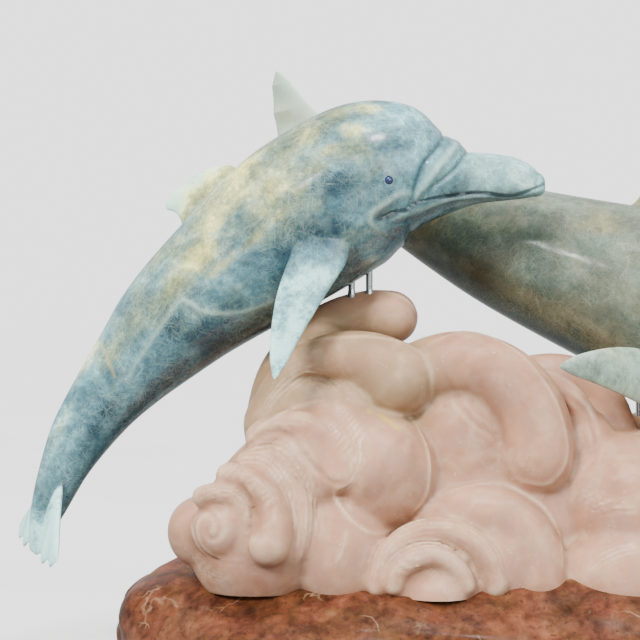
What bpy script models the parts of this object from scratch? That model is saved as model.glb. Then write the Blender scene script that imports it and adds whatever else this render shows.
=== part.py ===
"""Two carved gemstone dolphins leaping over a rose quartz wave that sits in a natural stone.

Metres, +Z up, +Y away from the viewer. The origin is at the centre of the stone's flat underside.
"""

import math

import bmesh
import bpy
import numpy as np
from mathutils import Vector, noise

MM = 0.001

# Clearance between touching pieces
GAP = 0.0003

# Dolphins, measured along the spine from the notch of the tail to the tip of the beak
FRONT_LENGTH = 0.549
REAR_LENGTH = 0.655
FRONT_HOLD_SHARE = 0.666
REAR_HOLD_SHARE = 0.630
BODY_SIDES = 14

# How far each belly stands above the curl that carries it
FRONT_LIFT = 0.013
REAR_LIFT = 0.009

# Where each belly meets its main pin, across the curl
FRONT_HOLD_X = -0.089
FRONT_HOLD_Y = -0.017
REAR_HOLD_X = 0.150
REAR_HOLD_Y = 0.056

# Eyes
EYE_RADIUS = 0.0027
EYE_SHARE = 0.763
EYE_ANGLE = 96
EYE_DEPTH = 0.0012

# Steel pins
PIN_RADIUS = 0.0027
PIN_FOOT_RADIUS = 0.0032
PIN_FOOT_HEIGHT = 0.004
PIN_SPACING = 0.014
PIN_EMBED = 0.014
PIN_DIP = 0.008

# Wave
WAVE_SEAT = 0.060
WAVE_VOXEL = 0.004
WAVE_KEEP = 0.045
ARM_STEPS = 20
ARM_SIDES = 14

# Stone
STONE_LENGTH = 0.590
STONE_DEPTH = 0.300
STONE_HEIGHT = 0.108
STONE_SQUARENESS = 2.5
STONE_FRONT_FALL = 0.45
STONE_KEEP = 0.06
POCKET_GAP = 0.004
POCKET_KEEP = 0.07

# Share along the spine, then back height, belly depth and half width as shares of the length
BODY_PROFILE = (
    (0.000, 0.004, 0.004, 0.018),
    (0.030, 0.016, 0.014, 0.021),
    (0.072, 0.028, 0.024, 0.022),
    (0.137, 0.041, 0.031, 0.027),
    (0.183, 0.050, 0.038, 0.034),
    (0.239, 0.057, 0.046, 0.043),
    (0.304, 0.068, 0.059, 0.054),
    (0.369, 0.084, 0.073, 0.069),
    (0.443, 0.096, 0.086, 0.083),
    (0.517, 0.108, 0.098, 0.097),
    (0.582, 0.119, 0.108, 0.107),
    (0.638, 0.123, 0.114, 0.113),
    (0.694, 0.120, 0.116, 0.115),
    (0.740, 0.116, 0.108, 0.112),
    (0.777, 0.105, 0.103, 0.105),
    (0.814, 0.085, 0.088, 0.091),
    (0.842, 0.058, 0.071, 0.073),
    (0.870, 0.045, 0.055, 0.054),
    (0.884, 0.036, 0.047, 0.045),
    (0.907, 0.038, 0.036, 0.038),
    (0.944, 0.039, 0.026, 0.034),
    (0.972, 0.032, 0.018, 0.028),
    (0.991, 0.018, 0.010, 0.018),
    (1.000, 0.003, 0.003, 0.003),
)

# Degrees at shares of the spine: pitch is nose up, yaw is nose away, lean is back towards the viewer. The
# dorsal fin has the shares of its rear and front root and its angle round the body, a flipper its share and angle.
# Sweep is the way a flipper points: forwards, up and outwards
FRONT_POSE = {
    "pitch": ((0, 72), (0.07, 68), (0.13, 64), (0.21, 56), (0.31, 49), (0.40, 44.5), (0.46, 39.5), (0.55, 37.5),
              (0.63, 36), (0.69, 33), (0.74, 26), (0.78, 10), (0.81, -3), (0.86, -8), (0.93, -9), (1, -12)),
    "yaw": ((0, 0), (1, 0)),
    "lean": ((0, 21), (0.3, 4), (0.7, 0), (0.85, 8), (1, 8)),
    "dorsal": (0.486, 0.604, -14),
    "flipper": (0.625, 129),
    "sweep": (-0.80, -0.43, 0.42),
}
REAR_POSE = {
    "pitch": ((0, 3), (0.06, -8), (0.14, -33), (0.22, -28), (0.30, -23.5), (0.38, -20.5), (0.50, -19), (0.60, -22),
              (0.68, -28), (0.75, -34), (0.82, -40), (1, -42)),
    "yaw": ((0, -54), (0.07, -49), (0.14, -38), (0.21, -18), (0.3, -9), (0.6, -12), (0.8, -22), (1, -24)),
    "lean": ((0, 96), (0.08, 88), (0.35, 10), (0.6, 0), (1, 4)),
    "dorsal": (0.508, 0.626, -8),
    "flipper": (0.640, 140),
    "sweep": (-0.56, -0.11, 0.80),
}

# Fin outlines as shares of the length: quadratic curves of the front and rear edge from root to tip
DORSAL = {"front": (0.118, 0.128, 0.014), "rear": (0.0, 0.008, 0.010), "span": 0.046, "half": (0.015, 0.003)}
FLIPPER = {"front": (0.0395, 0.024, 0.001), "rear": (-0.0395, -0.034, -0.001), "span": 0.200, "half": (0.014, 0.003)}
FLUKE = {"front": (0.088, 0.074, 0.012), "rear": (0.006, -0.010, 0.006), "span": 0.110, "half": (0.019, 0.003)}
FLIPPER_CHORD = (0.47, -0.88)

# Curls of the wave in millimetres and degrees: centre x and z, radius at start and end, angle at start and
# end, thickness (half) at start and end, y at start and end
CURLS = {
    "front crest": (-84, 184, 87, 87, 186, 82, 16, 22, -4, -10),
    "front fold": (-116, 178, 58, 65, 172, 43, 11, 29, -34, -52),
    "lobe": (-124, 94, 77, 73, 158, 57, 23, 43, -50, -62),
    "lobe inner": (-146, 147, 33, 32, 150, 15, 11, 19, -88, -98),
    "lobe rim": (-130, 171, 30, 29, 112, -45, 8, 8, -92, -92),
    "left outer": (-172, 106, 52, 52, 118, -40, 12, 12, -78, -84),
    "left middle": (-175, 114, 33, 33, 135, -45, 11, 11, -90, -96),
    "left thumb": (-197, 114, 37, 34, 108, -25, 8, 15, -100, -112),
    "left spiral": (-204, 114, 25, 4, 120, -330, 8, 4, -112, -118),
    "low outer": (-40, 65, 44, 44, 175, 5, 10, 10, -98, -98),
    "low inner": (-46, 65, 27, 27, 170, 10, 8, 8, -108, -108),
    "middle": (-18, 172, 67, 63, 118, -12, 21, 24, -44, -58),
    "middle rim": (37, 174, 47, 47, 95, -50, 10, 10, -28, -28),
    "middle back": (56, 171, 53, 53, 120, -20, 18, 19, 10, 20),
    "low right": (-8, 74, 47, 47, 130, -5, 20, 22, -72, -80),
    "right rim": (116, 55, 33, 33, 170, 20, 10, 10, -78, -78),
    "rear crest": (146, 120, 52, 50, 165, 30, 20, 25, 60, 68),
    "right": (163, 111, 60, 57, 155, 5, 20, 24, -18, -34),
    "right end": (222, 62, 36, 34, 160, 0, 14, 17, -40, -52),
    "right low": (165, 55, 38, 37, 170, 10, 11, 13, -74, -80),
    "back left": (-103, 115, 76, 69, 165, 35, 22, 30, 44, 54),
    "back middle": (-3, 93, 67, 70, 10, 150, 20, 28, 58, 68),
    "back low left": (-153, 50, 47, 45, 170, 15, 17, 21, 72, 80),
    "back low": (-35, 32, 49, 46, 170, 10, 14, 19, 86, 92),
    "back right": (203, 57, 50, 46, 165, 5, 18, 22, 52, 56),
}

# Masses that fill the wave behind its curls in millimetres: centre x, y, z, then half sizes along x, y, z
MASSES = {
    "core": (-32, 0, 76, 172, 85, 132),
    "core right": (128, 0, 76, 120, 80, 104),
    "left fill": (-173, -42, 104, 48, 48, 58),
    "lobe fill": (-120, -42, 151, 53, 48, 45),
    "crest fill": (-124, -6, 203, 46, 34, 48),
    "hollow": (-21, -14, 163, 52, 62, 75),
    "middle fill": (15, -10, 181, 48, 52, 52),
    "back fill": (62, 8, 150, 46, 50, 56),
    "right fill": (112, -14, 118, 66, 74, 62),
    "low right fill": (3, -58, 83, 58, 44, 50),
    "low ball": (-40, -95, 57, 26, 28, 26),
    "spiral ball": (-202, -92, 110, 23, 24, 23),
    "left bulge": (-216, -60, 105, 29, 32, 29),
    "low left fill": (-103, -58, 83, 37, 40, 39),
    "right low fill": (110, -64, 68, 60, 42, 46),
    "right mass": (182, -10, 93, 72, 74, 72),
    "right end mass": (239, -20, 67, 40, 54, 36),
}


def smooth_between(pairs, where):
    """Values at the places asked, on a smooth curve through the pairs that never overshoots them."""
    xs, ys = np.array(pairs, float).T
    run = np.diff(xs)
    rise = np.diff(ys) / run
    slope = np.zeros(len(xs))
    slope[0], slope[-1] = rise[0], rise[-1]
    for i in range(1, len(xs) - 1):
        if rise[i - 1] * rise[i] > 0:
            left, right = 2 * run[i] + run[i - 1], run[i] + 2 * run[i - 1]
            slope[i] = (left + right) / (left / rise[i - 1] + right / rise[i])
    where = np.clip(where, xs[0], xs[-1])
    i = np.clip(np.searchsorted(xs, where, side="right") - 1, 0, len(run) - 1)
    t = (where - xs[i]) / run[i]
    ends = (1 + 2 * t) * (1 - t) ** 2 * ys[i] + t * t * (3 - 2 * t) * ys[i + 1]
    return ends + run[i] * (t * (1 - t) ** 2 * slope[i] + t * t * (t - 1) * slope[i + 1])


def unit(v):
    return v / np.linalg.norm(v)


def quadratic(ends, k):
    start, middle, end = ends
    return (1 - k) ** 2 * start + 2 * k * (1 - k) * middle + k * k * end


def clear_scene():
    for obj in list(bpy.data.objects):
        bpy.data.objects.remove(obj, do_unlink=True)


def collection(name):
    made = bpy.data.collections.new(name)
    bpy.context.scene.collection.children.link(made)
    return made


def material(name, colour, roughness, metallic=0.0):
    made = bpy.data.materials.new(name)
    made.use_nodes = True
    shader = made.node_tree.nodes["Principled BSDF"]
    shader.inputs["Base Color"].default_value = (*colour, 1)
    shader.inputs["Roughness"].default_value = roughness
    shader.inputs["Metallic"].default_value = metallic
    return made


def add_object(name, bm, where, finish=None):
    """An object with this bmesh's faces, all facing out."""
    bmesh.ops.recalc_face_normals(bm, faces=bm.faces)
    mesh = bpy.data.meshes.new(name)
    bm.to_mesh(mesh)
    bm.free()
    mesh.shade_smooth()
    mesh.set_sharp_from_angle(angle=math.radians(50))
    obj = bpy.data.objects.new(name, mesh)
    if finish:
        mesh.materials.append(finish)
    where.objects.link(obj)
    return obj


def hide_cutter(obj):
    obj.hide_render = True
    obj.display_type = "WIRE"
    return obj


def combine(target, other, operation):
    step = target.modifiers.new(f"{operation.title()} {other.name}", "BOOLEAN")
    step.operation = operation
    step.object = other


def add_loft(bm, rings):
    """A closed skin through rings of equal length, with flat ends."""
    loops = [[bm.verts.new(point) for point in ring] for ring in rings]
    sides = len(loops[0])
    for below, above in zip(loops, loops[1:]):
        for i in range(sides):
            j = (i + 1) % sides
            bm.faces.new((below[i], below[j], above[j], above[i]))
    bm.faces.new(loops[0][::-1])
    bm.faces.new(loops[-1])


class Spine:
    """A dolphin's spine: points and axes at any share of its length."""

    STEPS = 400

    def __init__(self, length, pose, hold_share, hold):
        self.length = length
        self.pose = pose
        shares = np.linspace(0, 1, self.STEPS + 1)
        pitch, yaw, lean = (np.radians(smooth_between(pose[key], shares)) for key in ("pitch", "yaw", "lean"))
        forward = np.stack((np.cos(pitch) * np.cos(yaw), np.cos(pitch) * np.sin(yaw), np.sin(pitch)), axis=1)
        right = np.stack((np.sin(yaw), -np.cos(yaw), np.zeros_like(yaw)), axis=1)
        up = np.cross(right, forward)
        c, s = np.cos(lean)[:, None], np.sin(lean)[:, None]
        self.axes = np.stack((forward, up * c + right * s, right * c - up * s), axis=1)
        steps = (forward[1:] + forward[:-1]) / 2 * length / self.STEPS
        self.points = np.vstack((np.zeros(3), np.cumsum(steps, axis=0)))
        belly = smooth_between([(u, v) for u, _, v, _ in BODY_PROFILE], hold_share) * length
        self.points += hold - self.at(hold_share, 0, -belly)
        self.slope = self.place(hold_share)[1][0]

    def place(self, share):
        i = min(max(share, 0), 1) * self.STEPS
        low = min(int(i), self.STEPS - 1)
        t = i - low
        point = self.points[low] * (1 - t) + self.points[low + 1] * t
        axes = self.axes[low] * (1 - t) + self.axes[low + 1] * t
        return point, axes / np.linalg.norm(axes, axis=1)[:, None]

    def at(self, share, right, up):
        point, (_, up_axis, right_axis) = self.place(share)
        return point + right_axis * right + up_axis * up

    def skin(self, share, degrees):
        """A point of the body's skin, turned this far from the back towards the right side."""
        back, belly, half = (
            smooth_between([(row[0], row[column]) for row in BODY_PROFILE], share) * self.length
            for column in (1, 2, 3)
        )
        angle = math.radians(degrees)
        height = (back if math.cos(angle) > 0 else belly) * math.cos(angle)
        return self.at(share, half * math.sin(angle), height)


def body_rings(spine):
    tail = np.arange(0, 0.80, 0.05)
    head = np.arange(0.80, 0.99, 0.0135)
    shares = np.concatenate((tail, head, (0.991, 1.0)))
    turns = np.arange(BODY_SIDES) * 360 / BODY_SIDES
    return [[spine.skin(share, turn) for turn in turns] for share in shares]


def blade_rings(outline, length, origin, along, span, start, sections=7, sides=8):
    """Rings of a fin whose outline is given as shares of the length, thick at the root and thin at the tip."""
    along = unit(along - span * np.dot(along, span))
    across = np.cross(along, span)
    root, tip = outline["half"]
    rings = []
    for k in np.linspace(start, 1, sections + 1):
        front, rear = (quadratic(outline[edge], abs(k)) * length for edge in ("front", "rear"))
        middle, chord = (front + rear) / 2, (front - rear) / 2
        half = (root + (tip - root) * abs(k) ** 0.8) * length
        centre = origin + span * outline["span"] * length * k + along * middle
        rings.append([
            centre + along * chord * math.cos(a) + across * half * math.sin(a)
            for a in np.arange(sides) * 2 * math.pi / sides
        ])
    return rings


def fin_lofts(spine):
    """Name and rings of each fin."""
    length = spine.length
    rear_share, front_share, angle = spine.pose["dorsal"]
    rear_root = spine.skin(rear_share, angle)
    along = unit(spine.skin(front_share, angle) - rear_root)
    _, (_, up, right) = spine.place((rear_share + front_share) / 2)
    span = up * math.cos(math.radians(angle)) + right * math.sin(math.radians(angle))
    yield "dorsal", blade_rings(DORSAL, length, rear_root, along, unit(span - along * np.dot(span, along)), -0.5)

    share, angle = spine.pose["flipper"]
    _, (forward, up, right) = spine.place(share)
    for name, side in (("right", 1), ("left", -1)):
        origin = spine.skin(share, side * angle)
        ahead, rise, out = spine.pose["sweep"]
        sweep = ahead * forward + rise * up + out * side * right
        chord = FLIPPER_CHORD[0] * forward + FLIPPER_CHORD[1] * up
        yield f"{name} flipper", blade_rings(FLIPPER, length, origin, chord, unit(sweep), -0.25)

    origin, (forward, up, right) = spine.place(0)
    yield "fluke", blade_rings(FLUKE, length, origin, forward, right, -1, sections=12)


def add_dolphin(name, spine, parts, cutters, finish):
    bm = bmesh.new()
    add_loft(bm, body_rings(spine))
    dolphin = add_object(name, bm, parts, finish)
    for fin, rings in fin_lofts(spine):
        bm = bmesh.new()
        add_loft(bm, rings)
        combine(dolphin, hide_cutter(add_object(f"{name} {fin}", bm, cutters)), "UNION")
    return dolphin


def add_ball(name, centre, radius, where, finish=None):
    bm = bmesh.new()
    bmesh.ops.create_uvsphere(bm, u_segments=10, v_segments=7, radius=radius)
    obj = add_object(name, bm, where, finish)
    obj.location = centre
    return obj


def add_eyes(name, spine, dolphin, parts, cutters, finish):
    for word, side in (("right", 1), ("left", -1)):
        on_skin = spine.skin(EYE_SHARE, side * EYE_ANGLE)
        inwards = unit(spine.place(EYE_SHARE)[0] - on_skin)
        centre = on_skin + inwards * EYE_DEPTH
        add_ball(f"{name}_{word}_eye", centre, EYE_RADIUS, parts, finish)
        socket = add_ball(f"{name} {word} socket", centre, EYE_RADIUS + GAP, cutters)
        combine(dolphin, hide_cutter(socket), "DIFFERENCE")


def curl_rings(curl, grow=0.0):
    """Rings along an arc whose thickness and depth change from start to end, with rounded ends."""
    cx, cz, radius0, radius1, turn0, turn1, half0, half1, y0, y1 = curl
    steps = max(ARM_STEPS, int(abs(turn1 - turn0) / 12))
    points, halves = [], []
    for t in np.linspace(0, 1, steps + 1):
        angle = math.radians(turn0 + (turn1 - turn0) * t)
        radius = (radius0 + (radius1 - radius0) * t) * MM
        points.append(np.array((cx * MM + radius * math.cos(angle),
                                (y0 + (y1 - y0) * t) * MM,
                                cz * MM + radius * math.sin(angle))))
        halves.append((half0 + (half1 - half0) * t * t) * MM + grow)
    points, tangents = np.array(points), np.gradient(np.array(points), axis=0)
    rings = []
    for end, sign in ((0, -1), (-1, 1)):
        caps = []
        for lift in (0.95, 0.75, 0.4):
            centre = points[end] + unit(tangents[end]) * sign * halves[end] * lift
            caps.append(ring_around(centre, tangents[end], halves[end] * math.sqrt(1 - lift * lift)))
        if end == 0:
            rings += caps
            rings += [ring_around(*row) for row in zip(points, tangents, halves)]
        else:
            rings += caps[::-1]
    return rings


def ring_around(centre, tangent, half):
    across = np.array((0.0, 1.0, 0.0))
    side = unit(np.cross(tangent, across))
    across = unit(np.cross(side, tangent))
    turns = np.arange(ARM_SIDES) * 2 * math.pi / ARM_SIDES
    return [centre + half * (across * math.cos(a) + side * math.sin(a)) for a in turns]


def curl_top(name):
    _, cz, radius0, radius1, turn0, turn1, half0, half1, _, _ = CURLS[name]
    t = (90 - turn0) / (turn1 - turn0)
    return (cz + radius0 + (radius1 - radius0) * t + half0 + (half1 - half0) * t * t) * MM


def wave_shape(name, where, grow, seat, keep, finish=None):
    """The wave's curls and masses fused into one stone and cut flat at the seat."""
    bm = bmesh.new()
    for curl in CURLS.values():
        add_loft(bm, curl_rings(curl, grow))
    for x, y, z, half_x, half_y, half_z in MASSES.values():
        made = bmesh.ops.create_uvsphere(bm, u_segments=24, v_segments=16, radius=1)
        for vert in made["verts"]:
            vert.co = Vector((
                x * MM + vert.co.x * (half_x * MM + grow),
                y * MM + vert.co.y * (half_y * MM + grow),
                z * MM + vert.co.z * (half_z * MM + grow),
            ))
    wave = add_object(name, bm, where, finish)
    fuse = wave.modifiers.new("Fuse", "REMESH")
    fuse.mode = "VOXEL"
    fuse.voxel_size = WAVE_VOXEL
    fuse.use_smooth_shade = True
    soften = wave.modifiers.new("Soften", "SMOOTH")
    soften.iterations = 3
    thin = wave.modifiers.new("Thin", "DECIMATE")
    thin.ratio = keep
    bm = bmesh.new()
    bmesh.ops.create_cube(bm, size=1)
    below = add_object(f"{name} below", bm, bpy.data.collections["Cutters"])
    below.scale = (2, 2, 1)
    below.location = (0, 0, seat - 0.5)
    combine(wave, hide_cutter(below), "DIFFERENCE")
    return wave


def add_stone(parts, cutters, finish):
    bm = bmesh.new()
    bmesh.ops.create_icosphere(bm, subdivisions=5, radius=1)
    for vert in bm.verts:
        lump = 0.06 * noise.noise(vert.co * 1.6 + Vector((3.1, 0.4, 7.7)))
        lump += 0.03 * noise.noise(vert.co * 4.1 + Vector((1.2, 5.4, 2.2)))
        reach = (1 + lump) * sum(abs(c) ** STONE_SQUARENESS for c in vert.co) ** (-1 / STONE_SQUARENESS)
        rise = 1 - STONE_FRONT_FALL * min(max(-vert.co.y, 0), 1)
        vert.co = Vector((
            vert.co.x * reach * STONE_LENGTH / 2,
            vert.co.y * reach * STONE_DEPTH / 2,
            vert.co.z * reach * STONE_HEIGHT * rise,
        ))
    stone = add_object("base_stone", bm, parts, finish)
    thin = stone.modifiers.new("Thin", "DECIMATE")
    thin.ratio = STONE_KEEP
    bm = bmesh.new()
    bmesh.ops.create_cube(bm, size=1)
    floor = add_object("stone below", bm, cutters)
    floor.location = (0, 0, -0.5)
    combine(stone, hide_cutter(floor), "DIFFERENCE")
    pocket = wave_shape("wave pocket", cutters, POCKET_GAP, WAVE_SEAT - GAP, POCKET_KEEP)
    combine(stone, hide_cutter(pocket), "DIFFERENCE")
    return stone


def turned(name, profile, where, finish=None):
    """A round piece from its profile of radius and height, top to bottom."""
    mesh = bpy.data.meshes.new(name)
    mesh.from_pydata([(r, 0, z) for r, z in profile], [(i, i + 1) for i in range(len(profile) - 1)], [])
    obj = bpy.data.objects.new(name, mesh)
    if finish:
        mesh.materials.append(finish)
    where.objects.link(obj)
    spin = obj.modifiers.new("Turn", "SCREW")
    spin.steps = 16
    spin.render_steps = 16
    spin.use_merge_vertices = True
    spin.merge_threshold = 0.00005
    spin.use_smooth_shade = True
    return obj


def add_pins(name, hold_x, hold_y, crest, belly, spine, dolphin, wave, parts, cutters, finish):
    """Two upright pins from inside the curl to inside the belly, each in a drilled hole."""
    for word, offset in (("main", 0.0), ("second", -PIN_SPACING)):
        low = crest - PIN_EMBED - PIN_DIP
        high = belly + offset * spine.slope[2] / spine.slope[0] + PIN_EMBED
        foot = crest
        place = (hold_x + offset, hold_y, 0)
        profile = ((0, high), (PIN_RADIUS, high), (PIN_RADIUS, foot), (PIN_FOOT_RADIUS, foot - PIN_FOOT_HEIGHT),
                   (PIN_FOOT_RADIUS, low), (0, low))
        turned(f"{name}_{word}_pin", profile, parts, finish).location = place
        hole = PIN_FOOT_RADIUS + GAP
        for target, bottom, top in ((wave, low - GAP, crest + 0.04), (dolphin, crest - 0.04, high + GAP)):
            drill = turned(f"{name} {word} {target.name} hole", ((0, top), (hole, top), (hole, bottom), (0, bottom)),
                           cutters)
            drill.location = place
            combine(target, hide_cutter(drill), "DIFFERENCE")


def main():
    clear_scene()
    parts = collection("Gemstone dolphins")
    cutters = collection("Cutters")
    front_stone = material("front aquamarine", (0.33, 0.50, 0.52), 0.12)
    rear_stone = material("rear aquamarine", (0.30, 0.38, 0.33), 0.14)
    quartz = material("rose quartz", (0.62, 0.42, 0.35), 0.30)
    brown_stone = material("red brown stone", (0.33, 0.15, 0.10), 0.35)
    steel = material("polished steel", (0.60, 0.60, 0.60), 0.15, 1.0)
    sapphire = material("sapphire", (0.01, 0.02, 0.18), 0.05)

    wave = wave_shape("wave", parts, 0.0, WAVE_SEAT, WAVE_KEEP, quartz)
    add_stone(parts, cutters, brown_stone)
    for name, length, pose, share, crest, lift, x, y, finish in (
        ("front", FRONT_LENGTH, FRONT_POSE, FRONT_HOLD_SHARE, "front crest", FRONT_LIFT, FRONT_HOLD_X,
         FRONT_HOLD_Y, front_stone),
        ("rear", REAR_LENGTH, REAR_POSE, REAR_HOLD_SHARE, "rear crest", REAR_LIFT, REAR_HOLD_X,
         REAR_HOLD_Y, rear_stone),
    ):
        top = curl_top(crest)
        spine = Spine(length, pose, share, np.array((x, y, top + lift)))
        dolphin = add_dolphin(f"{name}_dolphin", spine, parts, cutters, finish)
        add_eyes(f"{name}_dolphin", spine, dolphin, parts, cutters, sapphire)
        add_pins(name, x, y, top, top + lift, spine, dolphin, wave, parts, cutters, steel)


main()
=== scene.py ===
import math

import bmesh
import bpy
import numpy as np
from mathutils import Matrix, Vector, noise
from mathutils.bvhtree import BVHTree


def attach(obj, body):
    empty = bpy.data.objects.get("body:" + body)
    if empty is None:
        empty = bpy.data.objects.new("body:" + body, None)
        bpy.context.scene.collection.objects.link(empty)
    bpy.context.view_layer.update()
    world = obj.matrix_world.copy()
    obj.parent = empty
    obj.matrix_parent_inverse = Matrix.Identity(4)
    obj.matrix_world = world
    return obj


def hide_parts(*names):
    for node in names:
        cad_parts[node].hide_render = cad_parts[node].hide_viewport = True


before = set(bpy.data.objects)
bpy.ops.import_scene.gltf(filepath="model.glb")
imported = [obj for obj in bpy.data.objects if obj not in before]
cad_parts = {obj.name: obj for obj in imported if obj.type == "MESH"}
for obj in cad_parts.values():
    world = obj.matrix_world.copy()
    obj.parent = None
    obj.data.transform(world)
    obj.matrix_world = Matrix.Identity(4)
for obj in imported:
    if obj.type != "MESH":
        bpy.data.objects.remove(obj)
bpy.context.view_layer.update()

MM = 0.001
PHOTO_SIZE = 640

# The camera stands level before the work, and its view is this wide on the plane y = 0
EYE_POINT = (-0.128, -1.6, 0.268)
VIEW_SIZE = 0.512
SENSOR = 36.0
VIEW_REACH = 200
FLOOR_REACH = 40

# Dolphins in metres: length along the spine, share of it that is held, and where the belly is held: x, y, and
# how far above the wave's crest
FRONT_LENGTH = 0.549
FRONT_HOLD_SHARE = 0.666
FRONT_HOLD = (-0.089, -0.017)
FRONT_LIFT = 0.013
REAR_LENGTH = 0.655
REAR_HOLD_SHARE = 0.630
REAR_HOLD = (0.150, 0.056)
REAR_LIFT = 0.009

# Eyes: share along the spine, degrees from the back, and sizes in metres
EYE_SHARE = 0.763
EYE_ANGLE = 96
EYE_RADIUS = 0.0031
EYE_DEPTH = 0.0012
SOCKET_CLEARANCE = 0.0004
EYE_SEGMENTS = 40
EYE_RINGS = 24

# The lid is a low ring around each eye: height in metres, then radius and half width in millimetres
LID_HEIGHT = 0.55 * MM
LID_RADIUS = 4.2
LID_WIDTH = 1.3

# Rounds of smoothing where fins meet the body
ROOT_ROUNDS = 14

# Base stone in metres, and the height in it at which the wave is cut flat
WAVE_SEAT = 0.060
STONE_LENGTH = 0.590
STONE_DEPTH = 0.300
STONE_HEIGHT = 0.108
STONE_SQUARENESS = 2.5
STONE_FRONT_FALL = 0.45
STONE_DETAIL = 8

# Lumps of the stone: size as a share of the radius, how many to the radius, and where their noise is read
STONE_LUMPS = ((0.06, 1.6, (3.1, 0.4, 7.7)), (0.03, 4.1, (1.2, 5.4, 2.2)), (0.006, 11, (4.4, 1.0, 6.3)))

# Place along the spine, then back height, belly depth and half width, in thousandths of the length
BODY_PROFILE = np.array((
    (0, 4, 4, 18), (30, 16, 14, 21), (72, 28, 24, 22), (137, 41, 31, 27), (183, 50, 38, 34),
    (239, 57, 46, 43), (304, 68, 59, 54), (369, 84, 73, 69), (443, 96, 86, 83), (517, 108, 98, 97),
    (582, 119, 108, 107), (638, 123, 114, 113), (694, 120, 116, 115), (740, 116, 108, 112),
    (777, 105, 103, 105), (814, 85, 88, 91), (842, 58, 71, 73), (870, 45, 55, 54), (884, 36, 47, 45),
    (907, 38, 36, 38), (944, 39, 26, 34), (972, 32, 18, 28), (991, 18, 10, 18), (1000, 3, 3, 3),
)) / 1000

HEAD_LINES = ("mouth", "mouth corner", "lower lip", "lip swell", "melon crease", "beak crease", "collar",
              "cheek", "under cheek")

# Degrees at shares of the spine: pitch is nose up, yaw is nose away, lean is back towards the viewer
FRONT_POSE = {
    "pitch": ((0, 72), (0.07, 68), (0.13, 64), (0.21, 56), (0.31, 49), (0.40, 44.5), (0.46, 39.5),
              (0.55, 37.5), (0.63, 36), (0.69, 33), (0.74, 26), (0.78, 10), (0.81, -3), (0.86, -8),
              (0.93, -9), (1, -12)),
    "yaw": ((0, 0), (1, 0)),
    "lean": ((0, 21), (0.3, 4), (0.7, 0), (0.85, 8), (1, 8)),
    "dorsal": (0.486, 0.604, -14),
    "flipper": (0.625, 118),
    "sweep": (-0.80, -0.53, 0.34),
    "fluke": (2, -0.001, 6, 0.0050),
    "lines": HEAD_LINES + ("flank",),
}
REAR_POSE = {
    "pitch": ((0, 3), (0.06, -8), (0.14, -33), (0.22, -28), (0.30, -23.5), (0.38, -20.5), (0.50, -19),
              (0.60, -22), (0.68, -28), (0.75, -34), (0.82, -40), (1, -42)),
    "yaw": ((0, -54), (0.07, -49), (0.14, -38), (0.21, -18), (0.3, -9), (0.6, -12), (0.8, -22), (1, -24)),
    "lean": ((0, 96), (0.08, 88), (0.35, 10), (0.6, 0), (1, 4)),
    "dorsal": (0.508, 0.626, -8),
    "flipper": (0.640, 140),
    "sweep": (-0.56, -0.11, 0.80),
    "fluke": (0, 0.0, 6, 0.0012),
    "lines": HEAD_LINES,
}

# Fin outlines as shares of the length: quadratic curves of the front and rear edge from root to tip, reach,
# half thickness at root and tip, and where the tip starts to round off
DORSAL = {"front": (0.118, 0.128, 0.062), "rear": (0.0, 0.022, -0.006), "span": 0.047,
          "half": (0.014, 0.004), "round": 0.70}
FLIPPER = {"front": (0.0395, 0.013, 0.005), "rear": (-0.0395, -0.049, -0.006), "span": 0.200,
           "half": (0.014, 0.003), "round": 0.84}
FLUKE = {"front": (0.152, 0.070, 0.026), "rear": (0.006, -0.010, 0.006), "span": 0.110,
         "half": (0.0125, 0.0035), "round": 0.80}
FLIPPER_CHORD = (0.47, -0.88)

# Where the head's closer rings and the rounded snout start along the spine, which angle from the back has
# the closest points, and how far across from the midline the carved lines begin to show
HEAD_START = 0.70
SNOUT_START = 0.985
DENSE_ANGLE = 108
DENSE_SPREAD = 34
SIDE_RANGE = (0.1, 0.4)

# Where the fins' look begins, as a reach from the spine with the skin at 1, and where the fluke's and the
# beak's looks begin along the spine
FIN_REACH = (1.05, 1.30)
FLUKE_SHARES = (0.075, 0.03)
BEAK_SHARES = (0.862, 0.90)

# Rings of the tail and body, rings of the head, and points around each
FRONT_RINGS = (330, 190, 130)
REAR_RINGS = (300, 170, 130)

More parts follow.
